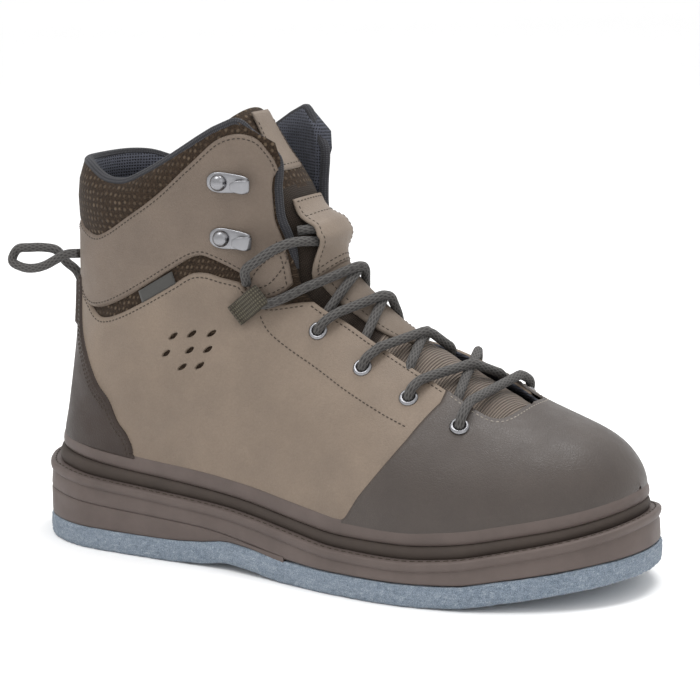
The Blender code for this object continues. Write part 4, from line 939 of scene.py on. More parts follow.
def panel(name, side, outline, mat, base=0.35, thick=1.1, round_edge=0.8, spacing=3.0, holes=(),
          reliefs=()):
    """A piece of leather laid on the boot, with rounded edges and real holes."""
    loop = np.asarray(outline, float)
    turn_way = winding(side, loop)
    hole_loops = [np.asarray(h, float) for h in holes]
    verts = [chart(loop)]
    edges = [[(i, (i + 1) % len(loop)) for i in range(len(loop))]]
    count = len(loop)
    for h in hole_loops:
        verts.append(chart(h))
        edges.append([(count + i, count + (i + 1) % len(h)) for i in range(len(h))])
        count += len(h)
    flat_loop = verts[0]
    rings = []
    for d in (0.35, 0.9, 1.8):
        rings.append(chart(inset_line(side, loop, d * turn_way, True)))
        for h in hole_loops:
            w = winding(side, h)
            rings.append(chart(inset_line(side, h, -d * 0.7 * w, True)))
    for r in reliefs:
        for d in (-1.1, -0.4, 0.0, 0.4, 1.1):
            rings.append(chart(inset_line(side, r, d, True)))
    lo, hi = flat_loop.min(0), flat_loop.max(0)
    gx, gy = np.meshgrid(np.arange(lo[0], hi[0], spacing), np.arange(lo[1], hi[1], spacing))
    fill = np.c_[gx.ravel() + (np.arange(gy.size) // gx.shape[1] % 2) * spacing / 2, gy.ravel()]
    cand = np.vstack(rings + [fill])
    keep = inside(flat_loop, cand)
    for h in hole_loops:
        keep &= ~inside(chart(h), cand)
    cand = cand[keep]
    line = np.vstack(verts)
    near = np.array([np.min(np.abs(line - c).max(1)) for c in cand])
    ring_count = keep[:sum(len(r) for r in rings)].sum()
    is_ring = np.arange(len(cand)) < ring_count
    ok = np.where(is_ring, near > 0.14, near > 1.2)
    cand = cand[ok]
    is_ring = is_ring[ok]
    ring_pts = cand[is_ring]
    if len(ring_pts):
        far = np.array([True if r else np.min(np.abs(ring_pts - c).max(1)) > 0.7
                        for c, r in zip(cand, is_ring)])
        cand = cand[far]
    pts = np.vstack([line, cand])
    out = delaunay_2d_cdt([Vector(p) for p in pts], [e for g in edges for e in g], [], 0, 1e-5)
    flat = np.array([v[:] for v in out[0]])
    tris = [f for f in out[2] if len(f) == 3]
    centre = np.array([flat[list(f)].mean(0) for f in tris])
    good = inside(flat_loop, centre)
    for h in hole_loops:
        good &= ~inside(chart(h), centre)
    tris = [f for f, g in zip(tris, good) if g]
    st = unchart(flat)
    p, n = skin(side, st[:, 0], st[:, 1])
    rim = skin(side, loop[:, 0], loop[:, 1])[0]
    rims = [rim] + [skin(side, h[:, 0], h[:, 1])[0] for h in hole_loops]
    dist = np.full(len(p), 1e9)
    for number, r in enumerate(rims):
        a, b = r, np.roll(r, -1, 0)
        ab = b - a
        for k in range(0, len(p), 400):
            q = p[k:k + 400, None] - a[None]
            w = np.clip((q * ab).sum(-1) / np.maximum((ab * ab).sum(-1), 1e-9), 0, 1)
            d = np.linalg.norm(q - w[..., None] * ab, axis=-1).min(1)
            dist[k:k + 400] = np.minimum(dist[k:k + 400], d * (3.0 if number else 1.0))
    q = np.clip(dist / round_edge, 0, 1)
    lift = -0.25 + (base + thick + 0.25) * np.sqrt(1 - (1 - q) ** 2)
    for r in reliefs:
        line = skin(side, r[:, 0], r[:, 1])[0]
        a, b = line, np.roll(line, -1, 0)
        ab = b - a
        near_r = np.empty(len(p))
        for k in range(0, len(p), 400):
            q = p[k:k + 400, None] - a[None]
            w = np.clip((q * ab).sum(-1) / np.maximum((ab * ab).sum(-1), 1e-9), 0, 1)
            near_r[k:k + 400] = np.linalg.norm(q - w[..., None] * ab, axis=-1).min(1)
        signed = np.where(inside(chart(r), flat), near_r, -near_r)
        lift = lift + 0.8 * smoothstep(signed, -0.45, 0.45) - 0.3 * np.exp(-((signed + 0.9) / 0.6) ** 2)
    v = p + n * lift[:, None]
    used = sorted({i for f in tris for i in f})
    remap = {o: k for k, o in enumerate(used)}
    faces = [tuple(remap[i] for i in f) for f in tris]
    obj = put(name, v[used], faces, mat, uv=flat[used] / 10.0)
    return face_out(obj, (130.0, 0.0, 90.0) if loop[:, 0].mean() < 16 else (85.0, 0.0, 120.0))


STITCHES = {"dark": ([], []), "grey": ([], [])}


def stitch_at(points, normals, length=1.55, width=0.62, height=0.34, step=2.35, kind="dark", sink=0.05):
    """A row of sewn stitches along points in millimetres."""
    p = np.asarray(points, float)
    k = np.concatenate([[0], np.cumsum(np.linalg.norm(np.diff(p, axis=0), axis=1))])
    verts, faces = STITCHES[kind]
    count = int(k[-1] // step)
    if count < 1:
        return
    rings = ((-0.5, 0.3), (-0.3, 0.92), (0.3, 0.92), (0.5, 0.3))
    for m in range(count):
        c = (m + 0.5) * k[-1] / count
        mid = np.array([np.interp(c, k, p[:, i]) for i in range(3)])
        nrm = np.array([np.interp(c, k, normals[:, i]) for i in range(3)])
        nrm /= np.linalg.norm(nrm)
        a = np.array([np.interp(c - 0.6, k, p[:, i]) for i in range(3)])
        b = np.array([np.interp(c + 0.6, k, p[:, i]) for i in range(3)])
        tan = b - a
        tan /= max(np.linalg.norm(tan), 1e-9)
        side = np.cross(nrm, tan)
        start = len(verts)
        for u, r in rings:
            for ang in (18, 90, 162, 234, 306):
                x = math.cos(math.radians(ang))
                y = math.sin(math.radians(ang))
                verts.append(mid + tan * (u * length) + side * (x * r * width / 2)
                             + nrm * (y * r * height - sink))
        for i in range(len(rings) - 1):
            for j in range(5):
                a0, b0 = start + i * 5 + j, start + i * 5 + (j + 1) % 5
                faces.append((a0, b0, b0 + 5, a0 + 5))
        faces.append(tuple(start + i for i in range(4, -1, -1)))
        e = start + (len(rings) - 1) * 5
        faces.append(tuple(e + i for i in range(5)))


def stitch_line(side, line, inset, lift, closed=False, **kw):
    """Stitches at a distance inside an edge line given by section and share."""
    st = np.asarray(line, float)
    if inset:
        st = inset_line(side, st, inset, closed)
    if closed:
        st = np.vstack([st, st[:1]])
    p, n = skin(side, st[:, 0], st[:, 1], lift)
    stitch_at(p, n, **kw)


def tube_mesh(path, radius, sides=12, squash=1.0, normals=None, caps=True, twist=0.0):
    """A round or flattened tube along a path: vertices, faces and UVs."""
    path = np.asarray(path, float)
    tan = np.gradient(path, axis=0)
    tan /= np.maximum(np.linalg.norm(tan, axis=1, keepdims=True), 1e-9)
    rad = np.broadcast_to(np.asarray(radius, float), (len(path),))
    k = np.concatenate([[0], np.cumsum(np.linalg.norm(np.diff(path, axis=0), axis=1))])
    verts, faces, uv = [], [], []
    side = np.cross(tan[0], (0.0, 0.0, 1.0))
    if np.linalg.norm(side) < 1e-3:
        side = np.array([1.0, 0.0, 0.0])
    for i, (p, t) in enumerate(zip(path, tan)):
        if normals is not None:
            other = normals[i] - t * (normals[i] @ t)
            other /= np.linalg.norm(other)
            side = np.cross(other, t)
        else:
            side = side - t * (side @ t)
            side /= np.linalg.norm(side)
            other = np.cross(t, side)
        for j in range(sides):
            a = 2 * math.pi * j / sides + twist * k[i]
            verts.append(p + rad[i] * (side * math.cos(a) + other * math.sin(a) * squash))
            uv.append((j / sides, k[i] / 10.0))
    n = len(path)
    for i in range(n - 1):
        for j in range(sides):
            a, b = i * sides + j, i * sides + (j + 1) % sides
            faces.append((a, b, b + sides, a + sides))
    if caps:
        faces.append(tuple(range(sides - 1, -1, -1)))
        faces.append(tuple((n - 1) * sides + j for j in range(sides)))
    return verts, faces, uv



# ---------------------------------------------------------------- materials
def lin(c):
    return tuple(((v / 255) / 12.92 if v / 255 <= 0.04045 else ((v / 255 + 0.055) / 1.055) ** 2.4) for v in c) + (1.0,)


class Mat:
    """A small helper for building one procedural material."""

    def __init__(self, name):
        self.mat = bpy.data.materials.new(name)
        self.mat.use_nodes = True
        self.tree = self.mat.node_tree
        self.nodes, self.links = self.tree.nodes, self.tree.links
        self.nodes.clear()
        self.out = self.nodes.new("ShaderNodeOutputMaterial")
        self.b = self.nodes.new("ShaderNodeBsdfPrincipled")
        self.links.new(self.b.outputs["BSDF"], self.out.inputs["Surface"])
        self.coord = self.nodes.new("ShaderNodeTexCoord")
        self.height = None

    def node(self, kind, **inputs):
        n = self.nodes.new(kind)
        for k, v in inputs.items():
            key = k.replace("_", " ")
            if key in n.inputs:
                if hasattr(v, "is_output"):
                    self.links.new(v, n.inputs[key])
                else:
                    n.inputs[key].default_value = v
            else:
                setattr(n, k, v)
        return n

    def noise(self, scale, detail=3.0, rough=0.5, space="Object", stretch=None):
        src = self.coord.outputs[space]
        if stretch:
            m = self.nodes.new("ShaderNodeMapping")
            m.inputs["Scale"].default_value = stretch
            self.links.new(src, m.inputs["Vector"])
            src = m.outputs["Vector"]
        n = self.nodes.new("ShaderNodeTexNoise")
        n.inputs["Scale"].default_value = scale
        n.inputs["Detail"].default_value = detail
        n.inputs["Roughness"].default_value = rough
        self.links.new(src, n.inputs["Vector"])
        return n.outputs["Fac"]

    def voronoi(self, scale, feature="F1", space="Object", rand=1.0):
        n = self.nodes.new("ShaderNodeTexVoronoi")
        n.feature = feature
        n.inputs["Scale"].default_value = scale
        n.inputs["Randomness"].default_value = rand
        self.links.new(self.coord.outputs[space], n.inputs["Vector"])
        return n.outputs["Distance"]

    def wave(self, scale, space="UV", direction="X", distortion=0.0, stretch=None, profile="SIN"):
        src = self.coord.outputs[space]
        if stretch:
            m = self.nodes.new("ShaderNodeMapping")
            m.inputs["Scale"].default_value = stretch
            self.links.new(src, m.inputs["Vector"])
            src = m.outputs["Vector"]
        n = self.nodes.new("ShaderNodeTexWave")
        n.wave_type = "BANDS"
        n.bands_direction = direction
        n.wave_profile = profile
        n.inputs["Scale"].default_value = scale
        n.inputs["Distortion"].default_value = distortion
        self.links.new(src, n.inputs["Vector"])
        return n.outputs["Fac"]

    def ramp(self, fac, stops):
        n = self.nodes.new("ShaderNodeValToRGB")
        self.links.new(fac, n.inputs["Fac"])
        els = n.color_ramp.elements
        while len(els) < len(stops):
            els.new(0.5)
        for e, (pos, col) in zip(els, stops):
            e.position = pos
            e.color = col
        return n.outputs["Color"]

    def span(self, fac, a, b, c=0.0, d=1.0):
        n = self.nodes.new("ShaderNodeMapRange")
        n.inputs["From Min"].default_value = a
        n.inputs["From Max"].default_value = b
        n.inputs["To Min"].default_value = c
        n.inputs["To Max"].default_value = d
        self.links.new(fac, n.inputs["Value"])
        return n.outputs["Result"]

    def math(self, op, a, b=None):
        n = self.nodes.new("ShaderNodeMath")
        n.operation = op
        for k, v in enumerate((a, b)):
            if v is None:
                continue
            if hasattr(v, "is_output"):
                self.links.new(v, n.inputs[k])
            else:
                n.inputs[k].default_value = v
        return n.outputs["Value"]

    def mix(self, fac, a, b, kind="MIX"):
        n = self.nodes.new("ShaderNodeMix")
        n.data_type = "RGBA"
        n.blend_type = kind
        for key, v in ((0, fac), (6, a), (7, b)):
            if hasattr(v, "is_output"):
                self.links.new(v, n.inputs[key])
            else:
                n.inputs[key].default_value = v
        return n.outputs[2]

    def bump(self, fac, strength, distance):
        n = self.nodes.new("ShaderNodeBump")
        n.inputs["Strength"].default_value = strength
        n.inputs["Distance"].default_value = distance
        self.links.new(fac, n.inputs["Height"])
        if self.height is not None:
            self.links.new(self.height, n.inputs["Normal"])
        self.height = n.outputs["Normal"]

    def done(self, colour, rough=0.6, spec=0.4, metal=0.0, sheen=0.0, coat=0.0, sheen_tint=None):
        b = self.b
        if hasattr(colour, "is_output"):
            self.links.new(colour, b.inputs["Base Color"])
        else:
            b.inputs["Base Color"].default_value = colour
        if hasattr(rough, "is_output"):
            self.links.new(rough, b.inputs["Roughness"])
        else:
            b.inputs["Roughness"].default_value = rough
        b.inputs["Specular IOR Level"].default_value = spec
        b.inputs["Metallic"].default_value = metal
        b.inputs["Sheen Weight"].default_value = sheen
        b.inputs["Sheen Roughness"].default_value = 0.5
        if sheen_tint is not None:
            b.inputs["Sheen Tint"].default_value = sheen_tint
        b.inputs["Coat Weight"].default_value = coat
        b.inputs["Coat Roughness"].default_value = 0.3
        if self.height is not None:
            self.links.new(self.height, b.inputs["Normal"])
        return self.mat


def leather(name, base, rough=0.5, spec=0.4, vary=0.12, grain=0.35, coat=0.0):
    """Waxed full-grain leather: cloudy colour, fine pebbled grain."""
    m = Mat(name)
    r, g, b, _ = lin(base)
    k0, k1 = 1 - vary, 1 + vary
    cloud = m.noise(38.0, 4.0, 0.6)
    col = m.ramp(m.span(cloud, 0.3, 0.7), [(0.0, (r * k0, g * k0, b * k0, 1)), (1.0, (r * k1, g * k1 * 0.995, b * k1 * 0.98, 1))])
    fleck = m.noise(900.0, 2.0, 0.6)
    col = m.mix(m.span(fleck, 0.35, 0.65, 0.0, 0.16), col, (r * 0.62, g * 0.6, b * 0.58, 1))
    cells = m.voronoi(760.0, "DISTANCE_TO_EDGE")
    m.bump(m.span(cells, 0.0, 0.16), grain, 0.00022)
    m.bump(m.noise(1500.0, 2.0, 0.6), grain * 0.5, 0.00010)
    m.bump(m.noise(130.0, 3.0, 0.55), grain * 0.8, 0.00055)
    rr = m.span(m.noise(60.0, 3.0, 0.6), 0.3, 0.7, rough - 0.07, rough + 0.09)
    return m.done(col, rr, spec, coat=coat)


def weave(name, base, dark, scale_u, scale_v, strength=0.6, rough=0.85, space="UV", sheen=0.15, depth=0.0004, fuzz=0.12):
    """A plain woven or knitted cloth from two crossing waves."""
    m = Mat(name)
    b = m.wave(scale_v, space, "Y")
    both_ways = m.math("MULTIPLY", m.wave(scale_u, space, "X"), b) if scale_u else b
    n = m.noise(700.0, 2.0, 0.6)
    mixed = m.math("ADD", m.math("MULTIPLY", both_ways, 1.0 - fuzz), m.math("MULTIPLY", n, fuzz))
    col = m.ramp(m.span(mixed, 0.0, 0.75), [(0.0, lin(dark)), (1.0, lin(base))])
    big = m.noise(45.0, 3.0, 0.6)
    col = m.mix(m.span(big, 0.35, 0.65, 0.0, 0.22), col, lin(dark))
    m.bump(mixed, strength, depth)
    return m.done(col, rough, 0.25, sheen=sheen)


def mesh_cloth(name, base, dark, scale=900.0, rough=0.8):
    """Open spacer mesh: a field of small dark holes."""
    m = Mat(name)
    d = m.voronoi(scale, "F1", "UV", 0.12)
    hole = m.span(d, 0.16, 0.42)
    n = m.noise(300.0, 3.0, 0.6)
    col = m.ramp(hole, [(0.0, lin(dark)), (0.6, lin(base)), (1.0, lin(tuple(min(255, int(v * 1.18)) for v in base)))])
    col = m.mix(m.span(n, 0.3, 0.7, 0.0, 0.25), col, lin(dark))
    m.bump(hole, 0.8, 0.0006)
    return m.done(col, rough, 0.12, sheen=0.05)


def dotted_cloth(name, base, dot):
    """Brown lining cloth with rows of small raised light dots."""
    m = Mat(name)
    d = m.voronoi(3.1, "F1", "UV", 0.22)
    spot = m.span(d, 0.34, 0.16)
    grain = m.noise(1400.0, 2.0, 0.6)
    patchy = m.span(m.noise(95.0, 3.0, 0.6), 0.36, 0.62, 0.25, 0.95)
    under = m.ramp(m.span(grain, 0.35, 0.65), [(0.0, lin(tuple(int(v * 0.62) for v in base))), (1.0, lin(base))])
    col = m.mix(m.math("MULTIPLY", spot, patchy), under, lin(dot))
    m.bump(m.math("ADD", m.math("MULTIPLY", spot, 0.7), m.math("MULTIPLY", grain, 0.3)), 0.8, 0.0006)
    return m.done(col, 0.85, 0.12, sheen=0.04)


TAUPE = leather("taupe_leather", (119, 106, 94), rough=0.55, spec=0.25, vary=0.10)
ANKLE = leather("ankle_leather", (108, 96, 86), rough=0.55, spec=0.25, vary=0.11)
UNDER = leather("under_leather", (108, 97, 87), rough=0.58, spec=0.2, vary=0.12)
TOE = leather("toe_leather", (67, 60, 56), rough=0.44, spec=0.35, vary=0.10, grain=0.3)
COUNTER = leather("counter_leather", (50, 40, 35), rough=0.5, spec=0.28, vary=0.10, grain=0.3)
PATCH = leather("patch_leather", (118, 107, 97), rough=0.55, spec=0.2, vary=0.08)
KEEPER = leather("keeper_leather", (121, 109, 98), rough=0.5, spec=0.25, vary=0.10)
MESH = dotted_cloth("brown_mesh", (56, 44, 34), (92, 79, 65))
LINING = mesh_cloth("dark_lining", (64, 66, 73), (24, 25, 29), 7.0)
RIBBED = weave("ribbed_cloth", (128, 115, 103), (74, 64, 56), 0.0, 2.4, 1.0, depth=0.0007)
CLOTH = weave("brown_cloth", (60, 49, 40), (30, 24, 19), 3.4, 3.4, 0.7, sheen=0.03)
BIND = weave("binding", (70, 70, 74), (36, 36, 39), 3.2, 3.6, 0.9, sheen=0.05)
WEBBING = weave("webbing", (98, 93, 78), (48, 44, 38), 1.9, 2.8, 0.9, sheen=0.05, depth=0.0005)


def thread_mat(name, base, rough=0.6):
    m = Mat(name)
    n = m.noise(2600.0, 2.0, 0.5)
    r, g, b, _ = lin(base)
    col = m.ramp(m.span(n, 0.3, 0.7), [(0.0, (r * 0.75, g * 0.75, b * 0.75, 1)), (1.0, (r * 1.15, g * 1.15, b * 1.15, 1))])
    return m.done(col, rough, 0.2, sheen=0.05)


STITCH = thread_mat("stitch_thread", (62, 54, 47))
STITCH_2 = thread_mat("stitch_thread_grey", (150, 142, 132))


def rubber(name, base, rough=0.55):
    m = Mat(name)
    r, g, b, _ = lin(base)
    n = m.noise(52.0, 4.0, 0.6)
    col = m.ramp(m.span(n, 0.3, 0.7), [(0.0, (r * 0.88, g * 0.88, b * 0.88, 1)), (1.0, (r * 1.1, g * 1.1, b * 1.1, 1))])
    m.bump(m.noise(900.0, 2.0, 0.6), 0.25, 0.0002)
    m.bump(m.noise(60.0, 2.0, 0.6), 0.25, 0.0005)
    return m.done(col, m.span(m.noise(80.0, 3.0, 0.6), 0.3, 0.7, rough - 0.05, rough + 0.08), 0.25)


RUBBER = rubber("brown_rubber", (88, 78, 74))
STRIP = rubber("strip_rubber", (62, 54, 49), 0.7)


def felt_mat():
    m = Mat("blue_grey_felt")
    fine = m.noise(2300.0, 4.0, 0.75)
    mid = m.noise(420.0, 4.0, 0.7)
    streak = m.noise(260.0, 3.0, 0.7, stretch=(1.0, 1.0, 3.4))
    v = m.math("ADD", m.math("MULTIPLY", fine, 0.62), m.math("ADD", m.math("MULTIPLY", mid, 0.2), m.math("MULTIPLY", streak, 0.18)))
    col = m.ramp(m.span(v, 0.36, 0.64), [(0.0, lin((76, 88, 100))), (0.35, lin((108, 121, 135))), (0.7, lin((142, 153, 165))), (1.0, lin((188, 196, 203)))])
    m.bump(v, 1.0, 0.0011)
    return m.done(col, 0.95, 0.1, sheen=0.2)


FELT = felt_mat()


def lace_mat():
    """Round braided lace: diagonal crossing ribs."""
    m = Mat("grey_lace")
    sep = m.nodes.new("ShaderNodeSeparateXYZ")
    m.links.new(m.coord.outputs["UV"], sep.inputs[0])
    u, v = sep.outputs[0], sep.outputs[1]
    turn_ = m.math("MULTIPLY", u, 2 * math.pi * 9)
    along = m.math("MULTIPLY", v, 2 * math.pi * 2.2)
    a = m.math("SINE", m.math("ADD", turn_, along))
    b = m.math("SINE", m.math("SUBTRACT", turn_, along))
    rib = m.math("MAXIMUM", a, b)
    n = m.noise(1800.0, 2.0, 0.6)
    h = m.math("ADD", m.span(rib, -0.2, 1.0), m.math("MULTIPLY", n, 0.25))
    col = m.ramp(m.span(h, 0.0, 1.1), [(0.0, lin((47, 45, 44))), (0.5, lin((67, 65, 64))), (1.0, lin((84, 82, 80)))])
    m.bump(h, 0.6, 0.0003)
    return m.done(col, 0.75, 0.18, sheen=0.08)


LACE = lace_mat()


def steel_mat():
    m = Mat("steel")
    m.bump(m.noise(300.0, 3.0, 0.6), 0.08, 0.0002)
    return m.done(lin((138, 138, 141)), m.span(m.noise(160.0, 3.0, 0.6), 0.3, 0.7, 0.24, 0.38), 0.5, metal=1.0)


STEEL = steel_mat()
# painted shade: a near-black material for the discs that stand in for the shade down each eyelet's hole
HOLE_SHADE = Mat("painted_hole_shade").done(lin((30, 27, 25)), 0.9, 0.1)
BED = leather("grey_footbed", (70, 69, 70), rough=0.85, spec=0.15, vary=0.08, grain=0.2)


# ---------------------------------------------------------------- camera, light, floor
def camera_and_light():
    th, el, roll = math.radians(29.0), math.radians(11.431), math.radians(-0.9127)
    back_v = np.array([math.sin(th) * math.cos(el), -math.cos(th) * math.cos(el), math.sin(el)])
    right = np.array([math.cos(th), math.sin(th), 0.0])
    up = np.cross(back_v, right)
    if up[2] < 0:
        up = -up
    c, s = math.cos(roll), math.sin(roll)
    r2, u2 = c * right + s * up, -s * right + c * up
    target = np.array([164.27, 0.0, 98.79])
    pos = (target + 1150.0 * back_v + SHIFT) * MM
    cam_data = bpy.data.cameras.new("camera")
    cam_data.sensor_width = 36.0
    cam_data.sensor_fit = "HORIZONTAL"
    cam_data.lens = 2461.6 / 700.0 * 36.0
    cam_data.clip_start, cam_data.clip_end = 0.05, 20.0
    cam = bpy.data.objects.new("camera", cam_data)
    m = Matrix.Identity(4)
    for i in range(3):
        m[i][0], m[i][1], m[i][2], m[i][3] = r2[i], u2[i], back_v[i], pos[i]
    cam.matrix_world = m
    bpy.context.scene.collection.objects.link(cam)
    bpy.context.scene.camera = cam

    def area(name, where, look, size, power, colour=(1, 1, 1)):
        data = bpy.data.lights.new(name, "AREA")
        data.shape, data.size, data.energy, data.color = "DISK", size, power, colour
        obj = bpy.data.objects.new(name, data)
        obj.location = where
        obj.rotation_euler = (Vector(look) - Vector(where)).to_track_quat("-Z", "Y").to_euler()
        bpy.context.scene.collection.objects.link(obj)
        return obj

    area("key_light", (-0.25, -0.75, 1.5), (0, 0, 0.08), 0.7, 8.5)
    area("fill_light", (1.4, -0.9, 0.9), (0, 0, 0.08), 1.1, 2.0)
    area("top_light", (0.25, 0.35, 1.5), (0, 0, 0.05), 0.8, 12.0)
    world = bpy.data.worlds.new("studio")
    bpy.context.scene.world = world
    world.use_nodes = True
    bg = world.node_tree.nodes["Background"]
    bg.inputs["Color"].default_value = (1.0, 1.0, 1.0, 1.0)
    bg.inputs["Strength"].default_value = 1.0

    me = bpy.data.meshes.new("studio_floor")
    verts, faces = [], []
    prof = [(-1.2, 0.0), (2.6, 0.0), (2.95, 0.04), (3.2, 0.2), (3.3, 0.5), (3.32, 2.6)]
    for i, (d, z) in enumerate(prof):
        for sgn in (-4.0, 4.0):
            verts.append((sgn, d, z))
    for i in range(len(prof) - 1):
        a = 2 * i
        faces.append((a, a + 1, a + 3, a + 2))
    me.from_pydata(verts, [], faces)
    me.shade_smooth()
    floor = bpy.data.objects.new("studio_floor", me)
    floor.rotation_euler = (0, 0, math.radians(29.0))
    bpy.context.scene.collection.objects.link(floor)
    fm = Mat("studio_white").done((0.95, 0.95, 0.95, 1), 0.9, 0.1)
    me.materials.append(fm)
    floor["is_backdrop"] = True
    bpy.context.scene.view_settings.view_transform = "Standard"


camera_and_light()



# ---------------------------------------------------------------- upper shell
def shell_places(side, count, tau, steps):
    """Section and share of every point of the upper, sole to top line."""
    rows = upper_rows(count)
    rows = np.interp(np.linspace(0, len(rows) - 1, 3 * len(rows) - 2), range(len(rows)), rows)
    s_all, t_all = [], []
    for s in rows:
        _, t0, t1 = limits(s, side, base_level)
        s_all.append(np.full(len(tau), s))
        t_all.append(way(tau, t0, t1))
    coarse = np.linspace(0, 1, 21)
    top = np.interp(tau, coarse, [collar_row(t, side) for t in coarse])
    for c in np.linspace(0, 1, steps + 1)[1:]:
        s = rows[-1] + (top - rows[-1]) * c
        s_all.append(s)
        line = []
        for a, b in zip(s, tau):
            _, t0, t1 = limits(a, side, base_level)
            line.append(float(way(b, t0, t1)))
        t_all.append(np.array(line))
    return np.array(s_all), np.array(t_all), top


FINE = np.concatenate([np.linspace(0, 0.08, 5), np.linspace(0.11, 0.9, 32), np.linspace(0.92, 1, 6)])
PLACES = {side: shell_places(side, 12, FINE, 9) for side in (-1, 1)}
TOP_S = {side: PLACES[side][0][-1] for side in (-1, 1)}
TOP_T = {side: PLACES[side][1][-1] for side in (-1, 1)}

# top edge of the leather round the ankle, by share of the way
ANKLE_TOP = ((0.0, 23.2), (0.05, 23.24), (0.09, 23.42), (0.135, 23.56), (0.18, 23.36), (0.251, 23.13),
             (0.31, 23.2), (0.375, 23.42), (0.49, 23.96), (0.598, 24.83), (0.671, 25.36), (0.72, 25.49),
             (0.76, 25.46), (0.799, 25.27), (0.835, 24.73), (0.848, 24.30))
_at = columns(("t", "s"), ANKLE_TOP)


def band_puff(side, s, t):
    """How far the padded collar stands out between the leather and the top line."""
    low = np.interp(t, _at["t"], _at["s"])
    high = np.interp(t, TOP_T[side], TOP_S[side])
    q = np.clip((s - low) / np.maximum(high - low, 0.25), 0, 1)
    return 2.1 * np.sqrt(np.clip(1 - (2 * q - 1) ** 2, 0, 1)) * (s > low - 0.001) * smoothstep(high - low, 0.25, 0.9)


def lining_room(s):
    """How thick the upper is behind its outer face."""
    return 2.6 + 2.6 * smoothstep(s, 20.5, 23.5)


pts, faces, mats, uvs = [], [], [], []
for side in (-1, 1):
    s_g, t_g, _ = PLACES[side]
    shown = both(1, s_g, t_g) * 0 + t_g
    low = (-0.35 * (1 - smoothstep(s_g, 22.6, 23.1)) - 0.5 * (1 - smoothstep(s_g, 0.4, 2.2))
           + band_puff(side, s_g, t_g))
    outer, n = skin(side, s_g, t_g, low)
    edge = np.minimum.reduce([smoothstep(1 - np.broadcast_to(FINE, s_g.shape), 0.0, 0.05),
                              np.ones_like(s_g)])
    inner = skin(side, s_g, t_g)[0] - n * ((0.6 + (lining_room(s_g) - 0.6) * (0.35 + 0.65 * edge))
                                           * (0.08 + 0.92 * smoothstep(s_g, 0.2, 2.0)))[..., None]
    inner[:, 0, 1] = np.where(t_g[:, 0] < 1e-6, 0.0, inner[:, 0, 1])
    r, c = s_g.shape
    start = len(pts)
    pts += list(outer.reshape(-1, 3)) + list(inner.reshape(-1, 3))
    for g in (outer, inner):
        run = np.zeros((r, c))
        run[:, 1:] = np.cumsum(np.linalg.norm(np.diff(g, axis=1), axis=-1), axis=1)
        rise = np.zeros((r, c))
        rise[1:] = np.cumsum(np.linalg.norm(np.diff(g, axis=0), axis=-1), axis=0)
        uvs += list(np.c_[run.ravel() / 10.0, g[..., 2].ravel() / 10.0])
    f = grid(r, c, start)
    faces += f
    mats += [0] * len(f)
    f = [q[::-1] for q in grid(r, c, start + r * c)]
    faces += f
    mats += [1] * len(f)
    k = start + r * c
    for i in range(r - 1):
        faces.append((start + i * c + c - 1, start + (i + 1) * c + c - 1, k + (i + 1) * c + c - 1, k + i * c + c - 1))
        mats.append(1)
    for j in range(c - 1):
        faces.append((start + (r - 1) * c + j, start + (r - 1) * c + j + 1, k + (r - 1) * c + j + 1, k + (r - 1) * c + j))
        mats.append(1)
    # the turned-in lower edge
    for i in range(r - 1):
        if t_g[i, 0] > 1e-6 or t_g[i + 1, 0] > 1e-6:
            faces.append((start + i * c, start + (i + 1) * c, k + (i + 1) * c, k + i * c))
            mats.append(0)
me = bpy.data.meshes.new("upper_shell")
me.from_pydata([tuple(p) for p in lift_off(pts)], [], faces)
me.polygons.foreach_set("material_index", mats)
layer = me.uv_layers.new(name="UVMap")
idx = np.empty(len(me.loops), dtype=np.int32)
me.loops.foreach_get("vertex_index", idx)
layer.data.foreach_set("uv", np.array(uvs)[idx].astype(np.float32).ravel())
bm = bmesh.new()
bm.from_mesh(me)
bmesh.ops.remove_doubles(bm, verts=bm.verts, dist=3e-6)
bmesh.ops.dissolve_degenerate(bm, edges=bm.edges, dist=1e-7)
bmesh.ops.recalc_face_normals(bm, faces=bm.faces)
bm.to_mesh(me)
bm.free()
me.shade_smooth()
shell = bpy.data.objects.new("upper_shell", me)
SHOWN.objects.link(shell)
me.materials.append(MESH)
me.materials.append(LINING)
me.materials.append(TOE)
for face in me.polygons:
    if face.material_index == 0 and face.center.x > 0.12:
        face.material_index = 2
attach(shell, "root")
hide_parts("upper")

# woven binding along the top line and down both flaps
front = {}
for side in (-1, 1):
    s_g, t_g, _ = PLACES[side]
    p_top = skin(side, s_g[-1], t_g[-1])
    mid_top = p_top[0] - p_top[1] * (lining_room(s_g[-1]) * 0.42)[:, None]
    rows = [i for i in range(len(s_g)) if s_g[i, -1] > 17.6]
    p_f = skin(side, s_g[rows, -1], t_g[rows, -1])
    mid_f = p_f[0] - p_f[1] * 1.3
    front[side] = (mid_top, p_top[1], mid_f[::-1], p_f[1][::-1])
line = np.vstack([front[-1][2][::-1][:-2], front[-1][0][::-1][1:-1], front[1][0][:-1][1:], front[1][2][2:]])
line = curve_through(dense(line, 3.6), 1.6)
rad = 2.3 * np.ones(len(line))
ends = np.minimum(np.arange(len(line)), np.arange(len(line))[::-1])
rad *= 0.45 + 0.55 * smoothstep(ends, 0, 6)
v, f, uv = tube_mesh(line, rad, 14)
put("collar_binding", v, f, BIND, uv)


# ---------------------------------------------------------------- panels
def tuck_level(x):
    """Lower edge of the panels, hidden behind the bead."""
    return HEIGHT["feather"](x) - 1.8


def feather_line(side, s_from, s_to, n, level=tuck_level):
    return [(s, limits(s, side, level)[1]) for s in np.linspace(s_from, s_to, n)]


def throat_line(side, s_from, s_to, n, inside_mm=0.0):
    out = []
    for s in np.linspace(s_from, s_to, n):
        t = float(edge_t(side, s))
        out.append((s, t))
    return out


def outline_of(side, line, step=1.3):
    """An outline given on the outer side, returned as it is."""
    return line


